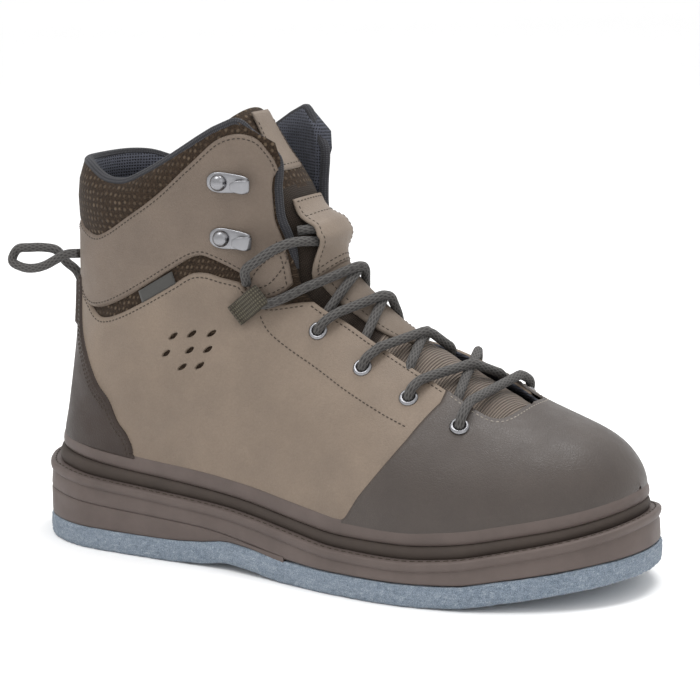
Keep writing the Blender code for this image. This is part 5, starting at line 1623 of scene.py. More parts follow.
HEEL_S = find_row(lambda s: float(ROW["back_z"](s)) - float(tuck_level(ROW["back_x"](s))), VAMP_ROW + 4, LAST_ROW)
QUARTER_TOP = ((22.3, 0.0), (22.25, 0.06), (22.12, 0.119), (21.84, 0.155), (21.5, 0.20), (21.22, 0.23),
               (21.0, 0.26), (20.86, 0.300), (20.78, 0.35), (20.76, 0.401), (20.79, 0.47), (20.86, 0.539),
               (20.93, 0.575), (20.91, 0.603), (20.60, 0.647), (20.02, 0.69), (19.42, 0.730),
               (19.0, 0.752), (18.3, 0.772), (17.6, 0.79), (16.85, 0.81), (16.3, 0.845), (15.9, 0.872))
ANKLE_LOW = ((16.9, 0.862), (17.05, 0.826), (17.4, 0.80), (18.2, 0.772), (18.9, 0.765), (19.49, 0.752),
             (20.1, 0.725), (20.67, 0.693), (21.2, 0.655), (21.50, 0.625), (21.57, 0.596), (21.45, 0.531),
             (21.34, 0.48), (21.26, 0.431), (21.20, 0.37), (21.20, 0.309), (21.28, 0.25), (21.45, 0.20),
             (21.72, 0.155), (22.08, 0.115), (22.32, 0.07), (22.42, 0.0))
HOLES = ((18.50, 0.558), (17.97, 0.617), (17.39, 0.669), (17.94, 0.537), (17.38, 0.604), (16.88, 0.647),
         (17.00, 0.571), (16.59, 0.608))


def carry(side, line):
    line = np.asarray(line, float)
    t = both(side, line[:, 0], line[:, 1])
    return np.c_[line[:, 0], np.clip(t, 0, 1)]


def even(side, line, step, closed=False):
    """Evenly spaced along the boot's face rather than the chart."""
    fine = dense(chart(line), 0.5, closed)
    st = unchart(fine)
    if closed:
        st = np.vstack([st, st[:1]])
    p, _ = skin(side, st[:, 0], st[:, 1])
    k = np.concatenate([[0], np.cumsum(np.linalg.norm(np.diff(p, axis=0), axis=1))])
    n = max(3, int(round(k[-1] / step)) + 1)
    q = np.linspace(0, k[-1], n)
    out = np.c_[np.interp(q, k, st[:, 0]), np.interp(q, k, st[:, 1])]
    return out[:-1] if closed else out


def smooth_edge(side, line, step=1.5):
    """A curved edge through carried places."""
    c = chart(carry(side, line))
    return even(side, unchart(curve_through(c, 1.0)), step)


def diamond(side, s, t, along, wide, tilt):
    """A small pointed slot cut in the leather."""
    p, n = skin(side, np.array([s]), np.array([t]))
    out = []
    for k in range(16):
        a = 2 * math.pi * k / 16
        x = along * math.copysign(abs(math.cos(a)) ** 1.25, math.cos(a))
        y = wide * math.copysign(abs(math.sin(a)) ** 1.25, math.sin(a))
        dx, dz = x * math.cos(tilt) - y * math.sin(tilt), x * math.sin(tilt) + y * math.cos(tilt)
        e = 0.05
        ps = (skin(side, np.array([s + e]), np.array([t]))[0] - p)[0] / e
        pt = (skin(side, np.array([s]), np.array([t + 0.004]))[0] - p)[0] / 0.004
        m = np.array([[ps[0], pt[0]], [ps[2], pt[2]]])
        d = np.linalg.solve(m, np.array([dx, dz]))
        out.append((s + d[0], t + d[1]))
    return np.array(out)


# quarter and ankle panels on each side, with pointed slots, stitching and a woven tag
for side in (-1, 1):
    tag = "lat" if side < 0 else "med"
    top = smooth_edge(side, QUARTER_TOP)
    down = even(side, throat_line(side, 15.6, 9.55, 40), 1.5)
    toe_part = smooth_edge(side, ((9.5, 0.80), (9.7, 0.72), (10.1, 0.62), (10.5, 0.52), (10.8, 0.42),
                                  (10.9, 0.36)), 2.0)
    low = even(side, feather_line(side, 10.95, HEEL_S - 0.02, 60), 2.2)
    back = [(s, 0.0) for s in np.linspace(HEEL_S + 0.25, 22.1, 24)]
    loop = np.vstack([top, down, toe_part, low, back])
    loop = loop[np.concatenate([[True], np.linalg.norm(np.diff(chart(loop), axis=0), axis=1) > 0.25])]
    if np.linalg.norm(chart(loop[:1]) - chart(loop[-1:])) < 0.25:
        loop = loop[:-1]
    holes = [diamond(side, s, float(both(side, s, t)), 2.75, 0.95, 0.6) for s, t in HOLES]
    panel(f"quarter_{tag}", side, loop, TAUPE, base=0.0, thick=1.1, spacing=2.2, holes=holes)
    stitch_line(side, top, 2.2 * -winding(side, loop) * -1, 1.15)
    stitch_line(side, down[down[:, 0] > 10.95], 2.6 * winding(side, loop), 1.15)

    a_top = smooth_edge(side, [(s, t) for t, s in ANKLE_TOP])
    flap = []
    for s in np.linspace(24.0, 17.0, 40):
        flap.append((s, float(edge_t(side, s)) - 0.017))
    flap = even(side, flap, 1.6)
    a_low = smooth_edge(side, ANKLE_LOW)
    back = [(s, 0.0) for s in np.linspace(22.5, 23.1, 5)]
    a_top2 = a_top[a_top[:, 0] > 0]
    loop = np.vstack([a_top2, flap, a_low, back])
    loop = loop[np.concatenate([[True], np.linalg.norm(np.diff(chart(loop), axis=0), axis=1) > 0.25])]
    if np.linalg.norm(chart(loop[:1]) - chart(loop[-1:])) < 0.25:
        loop = loop[:-1]
    panel(f"ankle_panel_{tag}", side, loop, ANKLE, base=0.15, thick=1.25, round_edge=1.0, spacing=2.6)
    w = winding(side, loop)
    stitch_line(side, a_top, 2.0 * w, 1.45)
    stitch_line(side, a_low, 2.0 * w, 1.45)
    stitch_line(side, flap[flap[:, 0] < 20.6], 3.2 * w, 1.5)

    # the leaf-shaped stitched lobe where the laces leave the shaft
    leaf = even(side, unchart(curve_through(chart(carry(side, (
        (18.55, 0.777), (19.23, 0.797), (19.55, 0.829), (19.56, 0.862), (18.99, 0.876), (18.23, 0.858),
        (17.87, 0.831), (18.05, 0.800)))), 1.0, True)), 1.0, True)
    stitch_line(side, leaf, 0.0, 1.5, closed=True)
    stay = smooth_edge(side, ((16.63, 0.786), (14.57, 0.749), (12.98, 0.716), (11.3, 0.693)))
    stitch_line(side, stay, 0.0, 1.2)
    stay_b = smooth_edge(side, ((15.6, 0.855), (14.9, 0.875), (14.2, 0.872)))

    # plain woven tag caught in the seam
    label = carry(side, ((21.19, 0.419), (20.74, 0.434), (20.83, 0.546), (21.36, 0.531)))
    lp, ln = [], []
    q = np.linspace(0, 1, 14)
    for a in np.linspace(0, 1, 7):
        e0 = label[0] + (label[1] - label[0]) * a
        e1 = label[3] + (label[2] - label[3]) * a
        for b in q:
            lp.append(e0 + (e1 - e0) * b)
    lp = np.array(lp)
    for name_up, z in (("tag", 0.75),):
        p1, n1 = skin(side, lp[:, 0], lp[:, 1], z)
        p0, _ = skin(side, lp[:, 0], lp[:, 1], 0.1)
        faces = grid(7, 14) + [f[::-1] for f in grid(7, 14, 98)]
        ring_i = [j for j in range(14)] + [i * 14 + 13 for i in range(1, 7)] + [6 * 14 + j for j in range(12, -1, -1)] + [i * 14 for i in range(5, 0, -1)]
        faces += [(ring_i[i], ring_i[(i + 1) % len(ring_i)], ring_i[(i + 1) % len(ring_i)] + 98, ring_i[i] + 98)
                  for i in range(len(ring_i))]
        if side < 0:
            put("side_tag", np.vstack([p1, p0]), faces, PATCH_TAG := weave("tag_weave", (98, 97, 94), (62, 61, 59), 40.0, 40.0, 0.5), None)

# ---------------------------------------------------------------- toe cap
toe_edge = [(10.97, 0.850), (10.89, 0.80), (10.99, 0.748), (11.16, 0.662), (11.35, 0.598), (11.54, 0.540),
            (11.74, 0.481), (11.91, 0.407)]
pts, faces, uvs = [], [], []
for side in (-1, 1):
    edge = carry(side, toe_edge)
    s_low = 12.05
    low_t = limits(s_low, side, counter_level)[1]
    edge = np.vstack([edge, [[s_low, low_t]]])
    order = np.argsort(edge[:, 1])
    ts, ss = edge[order, 1], edge[order, 0]
    full_s = []
    for u in np.concatenate([np.linspace(0, 0.1, 4)[:-1], np.linspace(0.1, 1, 46)]):
        s = 11.4
        for _ in range(14):
            t0 = limits(s, side, tuck_level)[1]
            t = t0 + (1 - t0) * u - (1 - float(edge_t(side, s))) * u ** 3
            s = 0.4 * s + 0.6 * float(np.interp(t, ts, ss))
        full_s.append(s)
    tau_t = np.concatenate([np.linspace(0, 0.1, 4)[:-1], np.linspace(0.1, 1, 46)])
    rows = np.concatenate([np.linspace(0, 0.765, 34), np.linspace(0.775, 0.86, 26), np.linspace(0.87, 1, 16), [1.0]])
    for ri, c in enumerate(rows):
        line_s = np.array(full_s)
        s_here = line_s * c
        st = []
        for u, s in zip(tau_t, s_here):
            t0 = limits(s, side, tuck_level)[1]
            t1 = 1.0 if s <= THROAT_ROW else float(edge_t(side, s))
            st.append((s, t0 + (1 - t0) * u - (1 - t1) * u ** 3))
        st = np.array(st)
        last = ri == len(rows) - 1
        from_edge = (line_s - s_here) * 8.5
        rim = np.minimum(from_edge, np.where(s_here > THROAT_ROW - 0.12, (1 - tau_t) * 60, 99.0))
        q = np.clip(rim / 0.9, 0, 1)
        lift = (-0.2 if last else 0.0) + (0.9 + 1.15 * np.sqrt(1 - (1 - q) ** 2)) * (0 if last else 1)
        p, n = skin(side, st[:, 0], st[:, 1], lift)
        if c == 0:
            p[:, 1] = p[:, 1].mean()
        pts += list(p)
        uvs += list(chart(st) / 10.0)
    m = len(tau_t)
    faces += grid(len(rows), m, len(pts) - len(rows) * m)
    rim_line = []
    for s in THROAT_ROW + np.linspace(0.0, 1.5, 60) ** 2:
        if s > 10.8:
            break
        rim_line.append((s, float(edge_t(side, s)) if s > THROAT_ROW + 1e-6 else 1.0))
    rim_line = np.array(rim_line)
    p, n = skin(side, rim_line[:, 0], rim_line[:, 1], 2.0)
    centre_line = np.array([250.0, 0.0, 84.0])
    tan = np.gradient(p, axis=0)
    tan /= np.maximum(np.linalg.norm(tan, axis=1, keepdims=True), 1e-9)
    away = np.cross(n, tan)
    middle_of = np.array([238.0, 0.0, 88.0])
    away *= np.where((away * (p - middle_of)).sum(1, keepdims=True) < 0, -1, 1)
    row = p + away * 2.3
    keep = np.abs(row[:, 1]) > 0.6
    stitch_at(row[keep], n[keep], kind="grey", length=1.5, step=2.4)
toe = put("toe_rand", pts, faces, TOE, uvs)
face_out(toe, (255.0, 0.0, 30.0))
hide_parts("toe_cap")

# ---------------------------------------------------------------- heel counter
COUNTER_FIT = columns(COUNTER_COLUMNS, COUNTER_EDGE)
count_t = smooth(COUNTER_FIT["section"], COUNTER_FIT["share"])
for side in (-1, 1):
    tag = "lat" if side < 0 else "med"
    top = np.array([(s, float(count_t(s))) for s in np.linspace(15.95, 22.2, 80)])
    top = even(side, top, 1.4)
    low = even(side, feather_line(side, 15.75, HEEL_S - 0.02, 30), 2.0)
    back = np.array([(s, 0.0) for s in np.linspace(HEEL_S + 0.2, 22.2, 20)])
    over = np.array([(22.28, t) for t in np.linspace(0.02, 0.12, 6)])
    loop = np.vstack([low, back, over, top[::-1]])
    loop = loop[np.concatenate([[True], np.linalg.norm(np.diff(chart(loop), axis=0), axis=1) > 0.25])]
    panel(f"counter_{tag}", side, loop, COUNTER, base=1.1, thick=1.2, round_edge=1.0, spacing=2.4)
    w = winding(side, loop)
    for d in (2.0, 3.9, 5.6):
        part = top if d < 5 else top[top[:, 0] > 17.5]
        moved = inset_line(side, part, d, False)
        if moved[:, 1].mean() > part[:, 1].mean():
            moved = inset_line(side, part, -d, False)
        keep = moved[:, 1] > 0.004
        pp, nn = skin(side, moved[keep, 0], moved[keep, 1], 2.35)
        stitch_at(pp, nn)
for o in ("heel_counter",):
    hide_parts(o)



# ---------------------------------------------------------------- sole
def sole_layer(name, rings, mat, n=150, rough=0.0, end=None, nodes=()):
    """A layer of the sole from rings of the plan, each at its own inset and height."""
    last = math.pi if end is None else float(turn(end))
    a = np.linspace(0, math.pi, 241)
    q = np.linspace(0, last, n + 1)
    pts, uvs = [], []
    for inset, level, dz in rings:
        lat, med = outline(240, inset)
        ring_pts = []
        pick = lambda p: np.c_[np.interp(q, a, p[:, 0]), np.interp(q, a, p[:, 1])]
        lat, med = pick(lat), pick(med)
        loop = np.vstack([lat, med[::-1][1 if end is None else 0:-1]])
        z = HEIGHT[level](loop[:, 0]) + dz
        loop = np.c_[loop, z]
        if rough:
            loop[:, :2] += RNG.normal(0, rough, (len(loop), 2))
            loop[:, 2] += RNG.normal(0, rough * 0.5, len(loop))
        pts.append(loop)
    m = len(pts[0])
    k = np.linspace(0, 70, m)
    uvs = np.array([(k[j], r * 0.5) for r in range(len(pts)) for j in range(m)])
    verts = np.vstack(pts)
    faces = grid(len(pts), m, 0, True)
    faces.append(tuple(range(m - 1, -1, -1)))
    faces.append(tuple((len(pts) - 1) * m + j for j in range(m)))
    obj = put(name, verts, faces, mat, uvs)
    bm = bmesh.new()
    bm.from_mesh(obj.data)
    bmesh.ops.triangulate(bm, faces=[f for f in bm.faces if len(f.verts) > 4])
    for e in bm.edges:
        if len(e.link_faces) == 2 and e.calc_face_angle(0) > math.radians(50):
            e.smooth = False
    bm.to_mesh(obj.data)
    bm.free()
    if nodes:
        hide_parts(*nodes)
    return obj


felt_rings = [(2.2, "felt_bottom", 0.0), (0.9, "felt_bottom", 0.25), (0.15, "felt_bottom", 1.3)]
for z in np.linspace(0.22, 0.85, 6):
    felt_rings.append((0.12 * math.sin(z * 9), "felt_bottom", float(z) * 10.4))
felt_rings += [(0.2, "felt_top", -1.0), (0.7, "felt_top", -0.15)]
sole_layer("felt_pad", felt_rings, FELT, 340, 0.16, nodes=("felt_outsole",))
sole_layer("wedge", [(1.2, "felt_top", -0.1), (0.6, "felt_top", 0.5), (0.45, "felt_top", 2.0), (0.5, "wedge_top", -1.6),
                     (0.8, "wedge_top", -0.3), (1.2, "wedge_top", 0.0)],
           RUBBER, 90, end=SOLE_LENGTH / 2 + 2.0, nodes=("heel_wedge",))
sole_layer("midsole_body", [(1.4, "wedge_top", -0.1), (0.75, "wedge_top", 0.45), (0.6, "wedge_top", 1.4),
                            (1.0, "lip", -6.6), (1.5, "lip", -5.4), (1.6, "lip", -4.8),
                            (0.9, "lip", -4.2), (0.5, "lip", -3.4), (0.3, "lip", -2.4), (0.35, "lip", -1.2),
                            (0.8, "lip", -0.5), (1.8, "lip", -0.1), (PLATE_INSET + 1.6, "lip", -0.1)],
           RUBBER, 170, nodes=("midsole",))
sole_layer("welt_strip", [(PLATE_INSET + 0.8, "lip", -0.6), (PLATE_INSET + 0.2, "lip", 0.6), (PLATE_INSET - 0.1, "lip", 2.0),
                          (PLATE_INSET, "groove", -2.2), (PLATE_INSET + 0.5, "groove", -0.6),
                          (PLATE_INSET + 1.5, "groove", 0.3), (UPPER_INSET + 3.0, "groove", 0.5)],
           STRIP, 170, nodes=("welt_plate",))
sole_layer("footbed", [(13.0, "groove", 0.4), (12.4, "groove", 1.6), (12.6, "groove", 3.8), (13.8, "groove", 4.7),
                       (20.0, "groove", 4.6)], BED, 90, nodes=("insole",))

# the row of sewing on the lip
for dz, r_in in ((0.35, 2.9),):
    lat, med = outline(240, r_in)
    loop = np.vstack([lat, med[-2:0:-1]])
    p = np.c_[loop, HEIGHT["lip"](loop[:, 0]) + dz - 0.35]
    p = dense(p, 1.2)
    stitch_at(p, np.tile((0.0, 0.0, 1.0), (len(p), 1)), length=2.6, width=0.8, height=0.4, step=3.9)

# rounded bead where the upper meets the sole
core = level_line(0.52, 260)
middle = core.mean(0)
k = np.vstack([core, core[:1]])
line = dense(k, 2.0)
line = line[:-1]
tan = np.roll(line, -1, 0) - np.roll(line, 1, 0)
tan /= np.linalg.norm(tan, axis=1, keepdims=True)
outward = np.cross(tan, (0.0, 0.0, 1.0))
if ((line - middle)[:, :2] * outward[:, :2]).sum() < 0:
    outward = -outward
outward /= np.linalg.norm(outward, axis=1, keepdims=True)
profile = ((-0.9, -4.0), (1.2, -4.05), (2.2, -3.5), (2.85, -2.2), (2.95, -0.6), (2.75, 1.2), (2.25, 2.6),
           (1.5, 3.6), (0.9, 4.0), (-0.9, 4.2))
verts, uv = [], []
for i, (p, o) in enumerate(zip(line, outward)):
    g, fth = float(HEIGHT["groove"](p[0])), float(HEIGHT["feather"](p[0]))
    scale = (fth - g) / 7.8
    for r, z in profile:
        verts.append(p + o * r + np.array([0.0, 0.0, z * scale]))
        uv.append((i * 0.2, z * 0.1))
m = len(profile)
n = len(line)
faces = []
for i in range(n):
    for j in range(m):
        a, b = i * m + j, i * m + (j + 1) % m
        c, d = ((i + 1) % n) * m + (j + 1) % m, ((i + 1) % n) * m + j
        faces.append((a, b, c, d))
bead = put("bead", verts, faces, RUBBER, uv)
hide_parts("welt_bead")


# ---------------------------------------------------------------- tongue
_lift = {24.0: -14.6, 25.0: -23.0, 22.5: -8.0, 9.0: -5.2, 7.6: -7.2, 10.0: -3.6, 21.0: -3.4, 19.0: 1.2, 17.0: 3.8}
TONGUE_AT["lift"] = smooth(_tongue["section"], np.array([_lift.get(float(s), v) for s, v in zip(_tongue["section"], _tongue["lift"])]))


def keeper_point(s, y, out):
    """The keeper lies on the tongue at both ends and arches off it between."""
    f, d = axis_of(s)
    on = tongue_point(s, y, 0.4)
    mid = tongue_point(s, 0.001, 0.0)
    rise = smoothstep(s, 16.5, 18.9) * (1 - smoothstep(s, 20.0, 22.5))
    depth_on = (f[0] - on[0]) * d[0] + (f[1] - on[2]) * d[1]
    depth_mid = (f[0] - mid[0]) * d[0] + (f[1] - mid[2]) * d[1]
    arch = depth_mid - 6.0 + y * y / 62.0
    depth = (1 - rise) * depth_on + rise * min(arch, depth_on) - out
    return np.array([f[0] - depth * d[0], on[1], f[1] - depth * d[1]])


def cloth_slab(name, outer, inner, mats, pick, uv_scale=0.1, edge_mat=0):
    """A closed sheet between two grids with a material for each place."""
    r, c = outer.shape[:2]
    pts = np.vstack([outer.reshape(-1, 3), inner.reshape(-1, 3)])
    run = np.zeros((r, c))
    run[:, 1:] = np.cumsum(np.linalg.norm(np.diff(outer, axis=1), axis=-1), axis=1)
    rise = np.zeros((r, c))
    rise[1:] = np.cumsum(np.linalg.norm(np.diff(outer, axis=0), axis=-1), axis=0)
    rise[:] = rise[:, c // 2:c // 2 + 1]
    run -= run[:, c // 2:c // 2 + 1]
    uv = np.c_[run.ravel(), rise.ravel()] * uv_scale
    uv = np.vstack([uv, uv])
    faces, ids = [], []
    for q in grid(r, c):
        faces.append(q)
        i, j = divmod(q[0], c)
        ids.append(pick(i, j))
    for q in grid(r, c, r * c):
        faces.append(q[::-1])
        ids.append(len(mats) - 1)
    loop = list(range(c)) + [i * c + c - 1 for i in range(1, r)] + \
        [(r - 1) * c + j for j in range(c - 2, -1, -1)] + [i * c for i in range(r - 2, 0, -1)]
    for i in range(len(loop)):
        a, b = loop[i], loop[(i + 1) % len(loop)]
        faces.append((a, b, b + r * c, a + r * c))
        ids.append(edge_mat)
    obj = put(name, pts, faces, mats, uv, weld=False)
    obj.data.polygons.foreach_set("material_index", ids)
    return obj


def round_rim(rows, cols, depth, reach):
    """How much a padded sheet thins towards its rim."""
    i = np.arange(rows)[:, None]
    j = np.arange(cols)[None, :]
    d = np.minimum(np.minimum(j, cols - 1 - j) / reach, (rows - 1 - i) / reach)
    q = np.clip(d, 0, 1)
    return depth * (1 - np.sqrt(1 - (1 - q) ** 2))


R, C = 90, 41
face = tongue_grid(R, C, 0.0)
sec_of = np.array([[7.6 + ((TONGUE_TOP - 0.5 * u * u) - 7.6) * k for u in np.linspace(-1, 1, C)] for k in np.linspace(0, 1, R)])
y_of = np.array([[u for u in np.linspace(-1, 1, C)] for _ in range(R)])
gn = np.cross(np.gradient(face, axis=0), np.gradient(face, axis=1))
gn /= np.maximum(np.linalg.norm(gn, axis=-1, keepdims=True), 1e-9)
if (gn[:, C // 2] * np.array([0.6, 0, 0.8])).sum() < 0:
    gn = -gn
thin = round_rim(R, C, 2.6, 3.0)
folds = 0.35 * np.sin(sec_of * 9.0) * smoothstep(sec_of, 8.5, 9.5) * (1 - smoothstep(sec_of, 14.5, 15.5)) * (1 - np.abs(y_of) ** 3)
sag = 0.5 * np.sin(sec_of * 2.1 + 1.2) * (1 - y_of ** 2)
outer = face + gn * (folds + sag - thin)[..., None]
thick = 3.6 + 2.4 * smoothstep(sec_of, 21.0, 24.0)
inner = face - gn * (thick - thin * 0.8)[..., None]


def tongue_region(i, j):
    s, u = sec_of[i, j], y_of[i, j]
    if s > 23.3:
        return 1
    if s > 13.2:
        return 0
    return 2


tongue = cloth_slab("tongue_pad", outer, inner, [CLOTH, MESH, RIBBED, CLOTH, LINING], tongue_region)
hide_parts("tongue")


def tongue_piece(name, rows_s, half, lift, mat, nr=24, nc=25, shape=None, thick=1.1, stitches=(), on=tongue_point):
    """A piece of leather sewn on the tongue between two sections."""
    g = []
    for a in np.linspace(0, 1, nr):
        s = rows_s[0] + (rows_s[1] - rows_s[0]) * a
        wide = half(a)
        g.append([on(s + (shape(a, u) if shape else 0.0), u * wide, lift) for u in np.linspace(-1, 1, nc)])
    g = np.array(g)
    n = np.cross(np.gradient(g, axis=0), np.gradient(g, axis=1))
    n /= np.maximum(np.linalg.norm(n, axis=-1, keepdims=True), 1e-9)
    if n[nr // 2, nc // 2] @ np.array([0.6, 0, 0.8]) < 0:
        n = -n
    i = np.arange(nr)[:, None] + np.zeros(nc)[None]
    j = np.arange(nc)[None, :] + np.zeros(nr)[:, None]
    d = np.minimum(np.minimum(j, nc - 1 - j), np.minimum(i, nr - 1 - i))
    top = g + n * (thick - 0.5 * (d < 1))[..., None]
    low = g - n * 0.3
    obj = cloth_slab(name, top, low, [mat, mat], lambda a, b: 0)
    for kind, pos, span in stitches:
        if kind == "row":
            k = pos * (nr - 1)
            i0, f_ = int(k), k - int(k)
            line_ = top[i0] * (1 - f_) + top[min(i0 + 1, nr - 1)] * f_
            nn = n[i0]
        else:
            k = pos * (nc - 1)
            i0, f_ = int(k), k - int(k)
            line_ = top[:, i0] * (1 - f_) + top[:, min(i0 + 1, nc - 1)] * f_
            nn = n[:, i0]
        a0, a1 = int(span[0] * (len(line_) - 1)), int(span[1] * (len(line_) - 1)) + 1
        stitch_at(line_[a0:a1], nn[a0:a1])
    return obj


tongue_piece("tongue_patch", (24.15, 25.85), lambda a: 9.5 - 2.5 * a, 0.2, PATCH,
             stitches=(("row", 0.12, (0.04, 0.96)), ("col", 0.05, (0.1, 0.9)), ("col", 0.95, (0.1, 0.9))))
under = tongue_piece("tongue_underlay", (12.5, 16.95), lambda a: 0.6 + 11.5 * math.sqrt(1 - (1 - min(a * 3.2, 1.0)) ** 2),
                     0.35, UNDER, nr=60,
                     stitches=(("col", 0.1, (0.03, 0.97)), ("col", 0.9, (0.03, 0.97))))


def keeper_half(s):
    return 15.5 - 1.2 * abs(s - 19.2) ** 0.7


kr, kc = 44, 25
for_keeper = []
for s in np.linspace(16.5, 22.75, kr):
    for_keeper.append([keeper_point(s, u * keeper_half(s), 0.0) for u in np.linspace(-1, 1, kc)])
kg = np.array(for_keeper)
kn = np.cross(np.gradient(kg, axis=0), np.gradient(kg, axis=1))
kn /= np.maximum(np.linalg.norm(kn, axis=-1, keepdims=True), 1e-9)
if kn[kr // 2, kc // 2] @ np.array([0.6, 0, 0.8]) < 0:
    kn = -kn
ii = np.arange(kr)[:, None] + np.zeros(kc)[None]
jj = np.arange(kc)[None, :] + np.zeros(kr)[:, None]
dd = np.minimum(np.minimum(jj, kc - 1 - jj), np.minimum(ii, kr - 1 - ii))
ktop = kg + kn * (1.6 - 0.45 * (dd < 1))[..., None]
klow = kg + kn * (0.25 * (dd < 1))[..., None]
keeper = cloth_slab("keeper", ktop, klow, [KEEPER, CLOTH], lambda a, b: 0)
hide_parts("tongue_keeper")
for row in (41.6, 33.0, 1.5, 4.0):
    i0 = int(row)
    f_ = row - i0
    line_ = ktop[i0] * (1 - f_) + ktop[i0 + 1] * f_
    stitch_at(line_[1:-1], kn[i0][1:-1])
for col in (1.6, kc - 2.6):
    i0 = int(col)
    f_ = col - i0
    line_ = ktop[:, i0] * (1 - f_) + ktop[:, i0 + 1] * f_
    stitch_at(line_[2:-3], kn[:, i0][2:-3])


# ---------------------------------------------------------------- hardware
def surface(s, t, side):
    p, n = skin(side, np.array([s]), np.array([t]))
    return p[0], n[0]


def local(s, t, side, toward):
    p, n = surface(s, float(mirrored(s, t, side)), side)
    u = np.array(toward, float) * (1, side, 1)
    u -= n * np.dot(u, n)
    u /= np.linalg.norm(u)
    return p, u, np.cross(n, u), n


SIDE_NAME = {-1: "lat", 1: "med"}
EYES = {}
for number, (s, t) in enumerate(EYELETS, 1):
    for side in (-1, 1):
        p, u, v, n = local(s, t, side, (1.0, 0.0, -0.5))
        lift = OVERLAY + 0.6 if number == len(EYELETS) else 0.25
        p = p + n * lift
        EYES[(side, number)] = (p, u, v, n)
        prof = [(2.45, -0.8), (2.35, 0.6), (2.5, 1.45), (2.95, 1.95), (3.5, 2.0), (4.0, 1.7), (4.35, 1.2), (4.45, 0.8), (4.3, 0.5), (3.0, 0.4)]
        verts, faces = [], []
        cnt, m = 40, len(prof)
        for i in range(cnt):
            a = 2 * math.pi * i / cnt
            for r, h in prof:
                verts.append(p + (u * math.cos(a) + v * math.sin(a)) * r + n * h)
        for i in range(cnt):
            for j in range(m):
                a, b = i * m + j, i * m + (j + 1) % m
                c, d = ((i + 1) % cnt) * m + (j + 1) % m, ((i + 1) % cnt) * m + j
                faces.append((a, b, c, d))
        o = put(f"eye_{SIDE_NAME[side]}_{number}", verts, faces, STEEL, None)
        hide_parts(f"eyelet_{SIDE_NAME[side]}_{number}")
        # painted shade: a dark disc inside the eyelet ring, where the hole would show only shade
        disc = [p + (u * math.cos(2 * math.pi * i / 24) + v * math.sin(2 * math.pi * i / 24)) * 2.6 + n * h
                for h in (0.3, 0.75) for i in range(24)]
        f = [tuple(range(23, -1, -1)), tuple(range(24, 48))] + [(i, (i + 1) % 24, (i + 1) % 24 + 24, i + 24) for i in range(24)]
        put(f"eye_hole_shade_{SIDE_NAME[side]}_{number}", disc, f, HOLE_SHADE, None)


def hook(side, number, s, t):
    p, u, v, n = local(s, t, side, (1.0, 0.3, -0.12))
    p = p + n * 1.3
    verts, faces = [], []
    # base plate and the folded-back shell, as one strip with rounded width
    path = [(-5.9, 0.4, 2.0), (-5.2, 0.9, 3.2), (-3.4, 1.1, 4.5), (0.0, 1.15, 5.0), (3.6, 1.1, 4.7), (8.0, 1.2, 4.35),
            (11.4, 1.5, 3.9), (13.4, 2.6, 3.3), (14.1, 4.2, 2.9), (13.5, 5.7, 3.1), (11.8, 6.7, 3.3), (9.4, 7.0, 3.0),
            (7.2, 6.9, 2.3), (6.0, 6.6, 1.4)]
    path = np.array(path)
    path = np.c_[tuple(np.interp(np.linspace(0, len(path) - 1, 48), range(len(path)), path[:, i]) for i in range(3))]
    for i in range(3):
        for _ in range(2):
            path[1:-1, i] = (path[:-2, i] + 2 * path[1:-1, i] + path[2:, i]) / 4
    tg = np.gradient(path[:, :2], axis=0)
    tg /= np.linalg.norm(tg, axis=1)[:, None]
    nm = np.c_[-tg[:, 1], tg[:, 0]]
    cs = 20
    for (a, h, w), (na, nh) in zip(path, nm):
        for j in range(cs):
            ang = 2 * math.pi * j / cs
            x = w * math.copysign(abs(math.cos(ang)) ** 0.45, math.cos(ang))
            y = 0.62 * math.copysign(abs(math.sin(ang)) ** 0.8, math.sin(ang))
            curl = -0.16 * (x / 4.0) ** 2 * (1 if h > 2.4 else 0.4)
            verts.append(p + u * (a + na * (y + curl)) + n * (h + nh * (y + curl)) + v * x)
    for i in range(len(path) - 1):
        for j in range(cs):
            a, b = i * cs + j, i * cs + (j + 1) % cs
            faces.append((a, b, b + cs, a + cs))
    faces.append(tuple(range(cs - 1, -1, -1)))
    faces.append(tuple((len(path) - 1) * cs + j for j in range(cs)))
    o = put(f"hook_shell_{SIDE_NAME[side]}_{number}", verts, faces, STEEL, None)
    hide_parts(f"hook_{SIDE_NAME[side]}_{number}")
    verts, faces = [], []
    rr = [(3.9, 1.3), (3.95, 2.0), (3.75, 2.9), (3.2, 3.7), (2.4, 4.35), (1.3, 4.7), (0.4, 4.8)]
    cnt = 32
    for r, h in rr:
        for i in range(cnt):
            a = 2 * math.pi * i / cnt
            verts.append(p + (u * math.cos(a) + v * math.sin(a)) * r + n * h + u * -0.6)
    for k_ in range(len(rr) - 1):
        for i in range(cnt):
            a, b = k_ * cnt + i, k_ * cnt + (i + 1) % cnt
            faces.append((a, b, b + cnt, a + cnt))
    faces.append(tuple(range(cnt - 1, -1, -1)))
    faces.append(tuple((len(rr) - 1) * cnt + i for i in range(cnt)))
    put(f"hook_rivet_{SIDE_NAME[side]}_{number}", verts, faces, STEEL, None)


for number, (s, t) in enumerate(HOOKS, 1):
    for side in (-1, 1):
        hook(side, number, s, t)


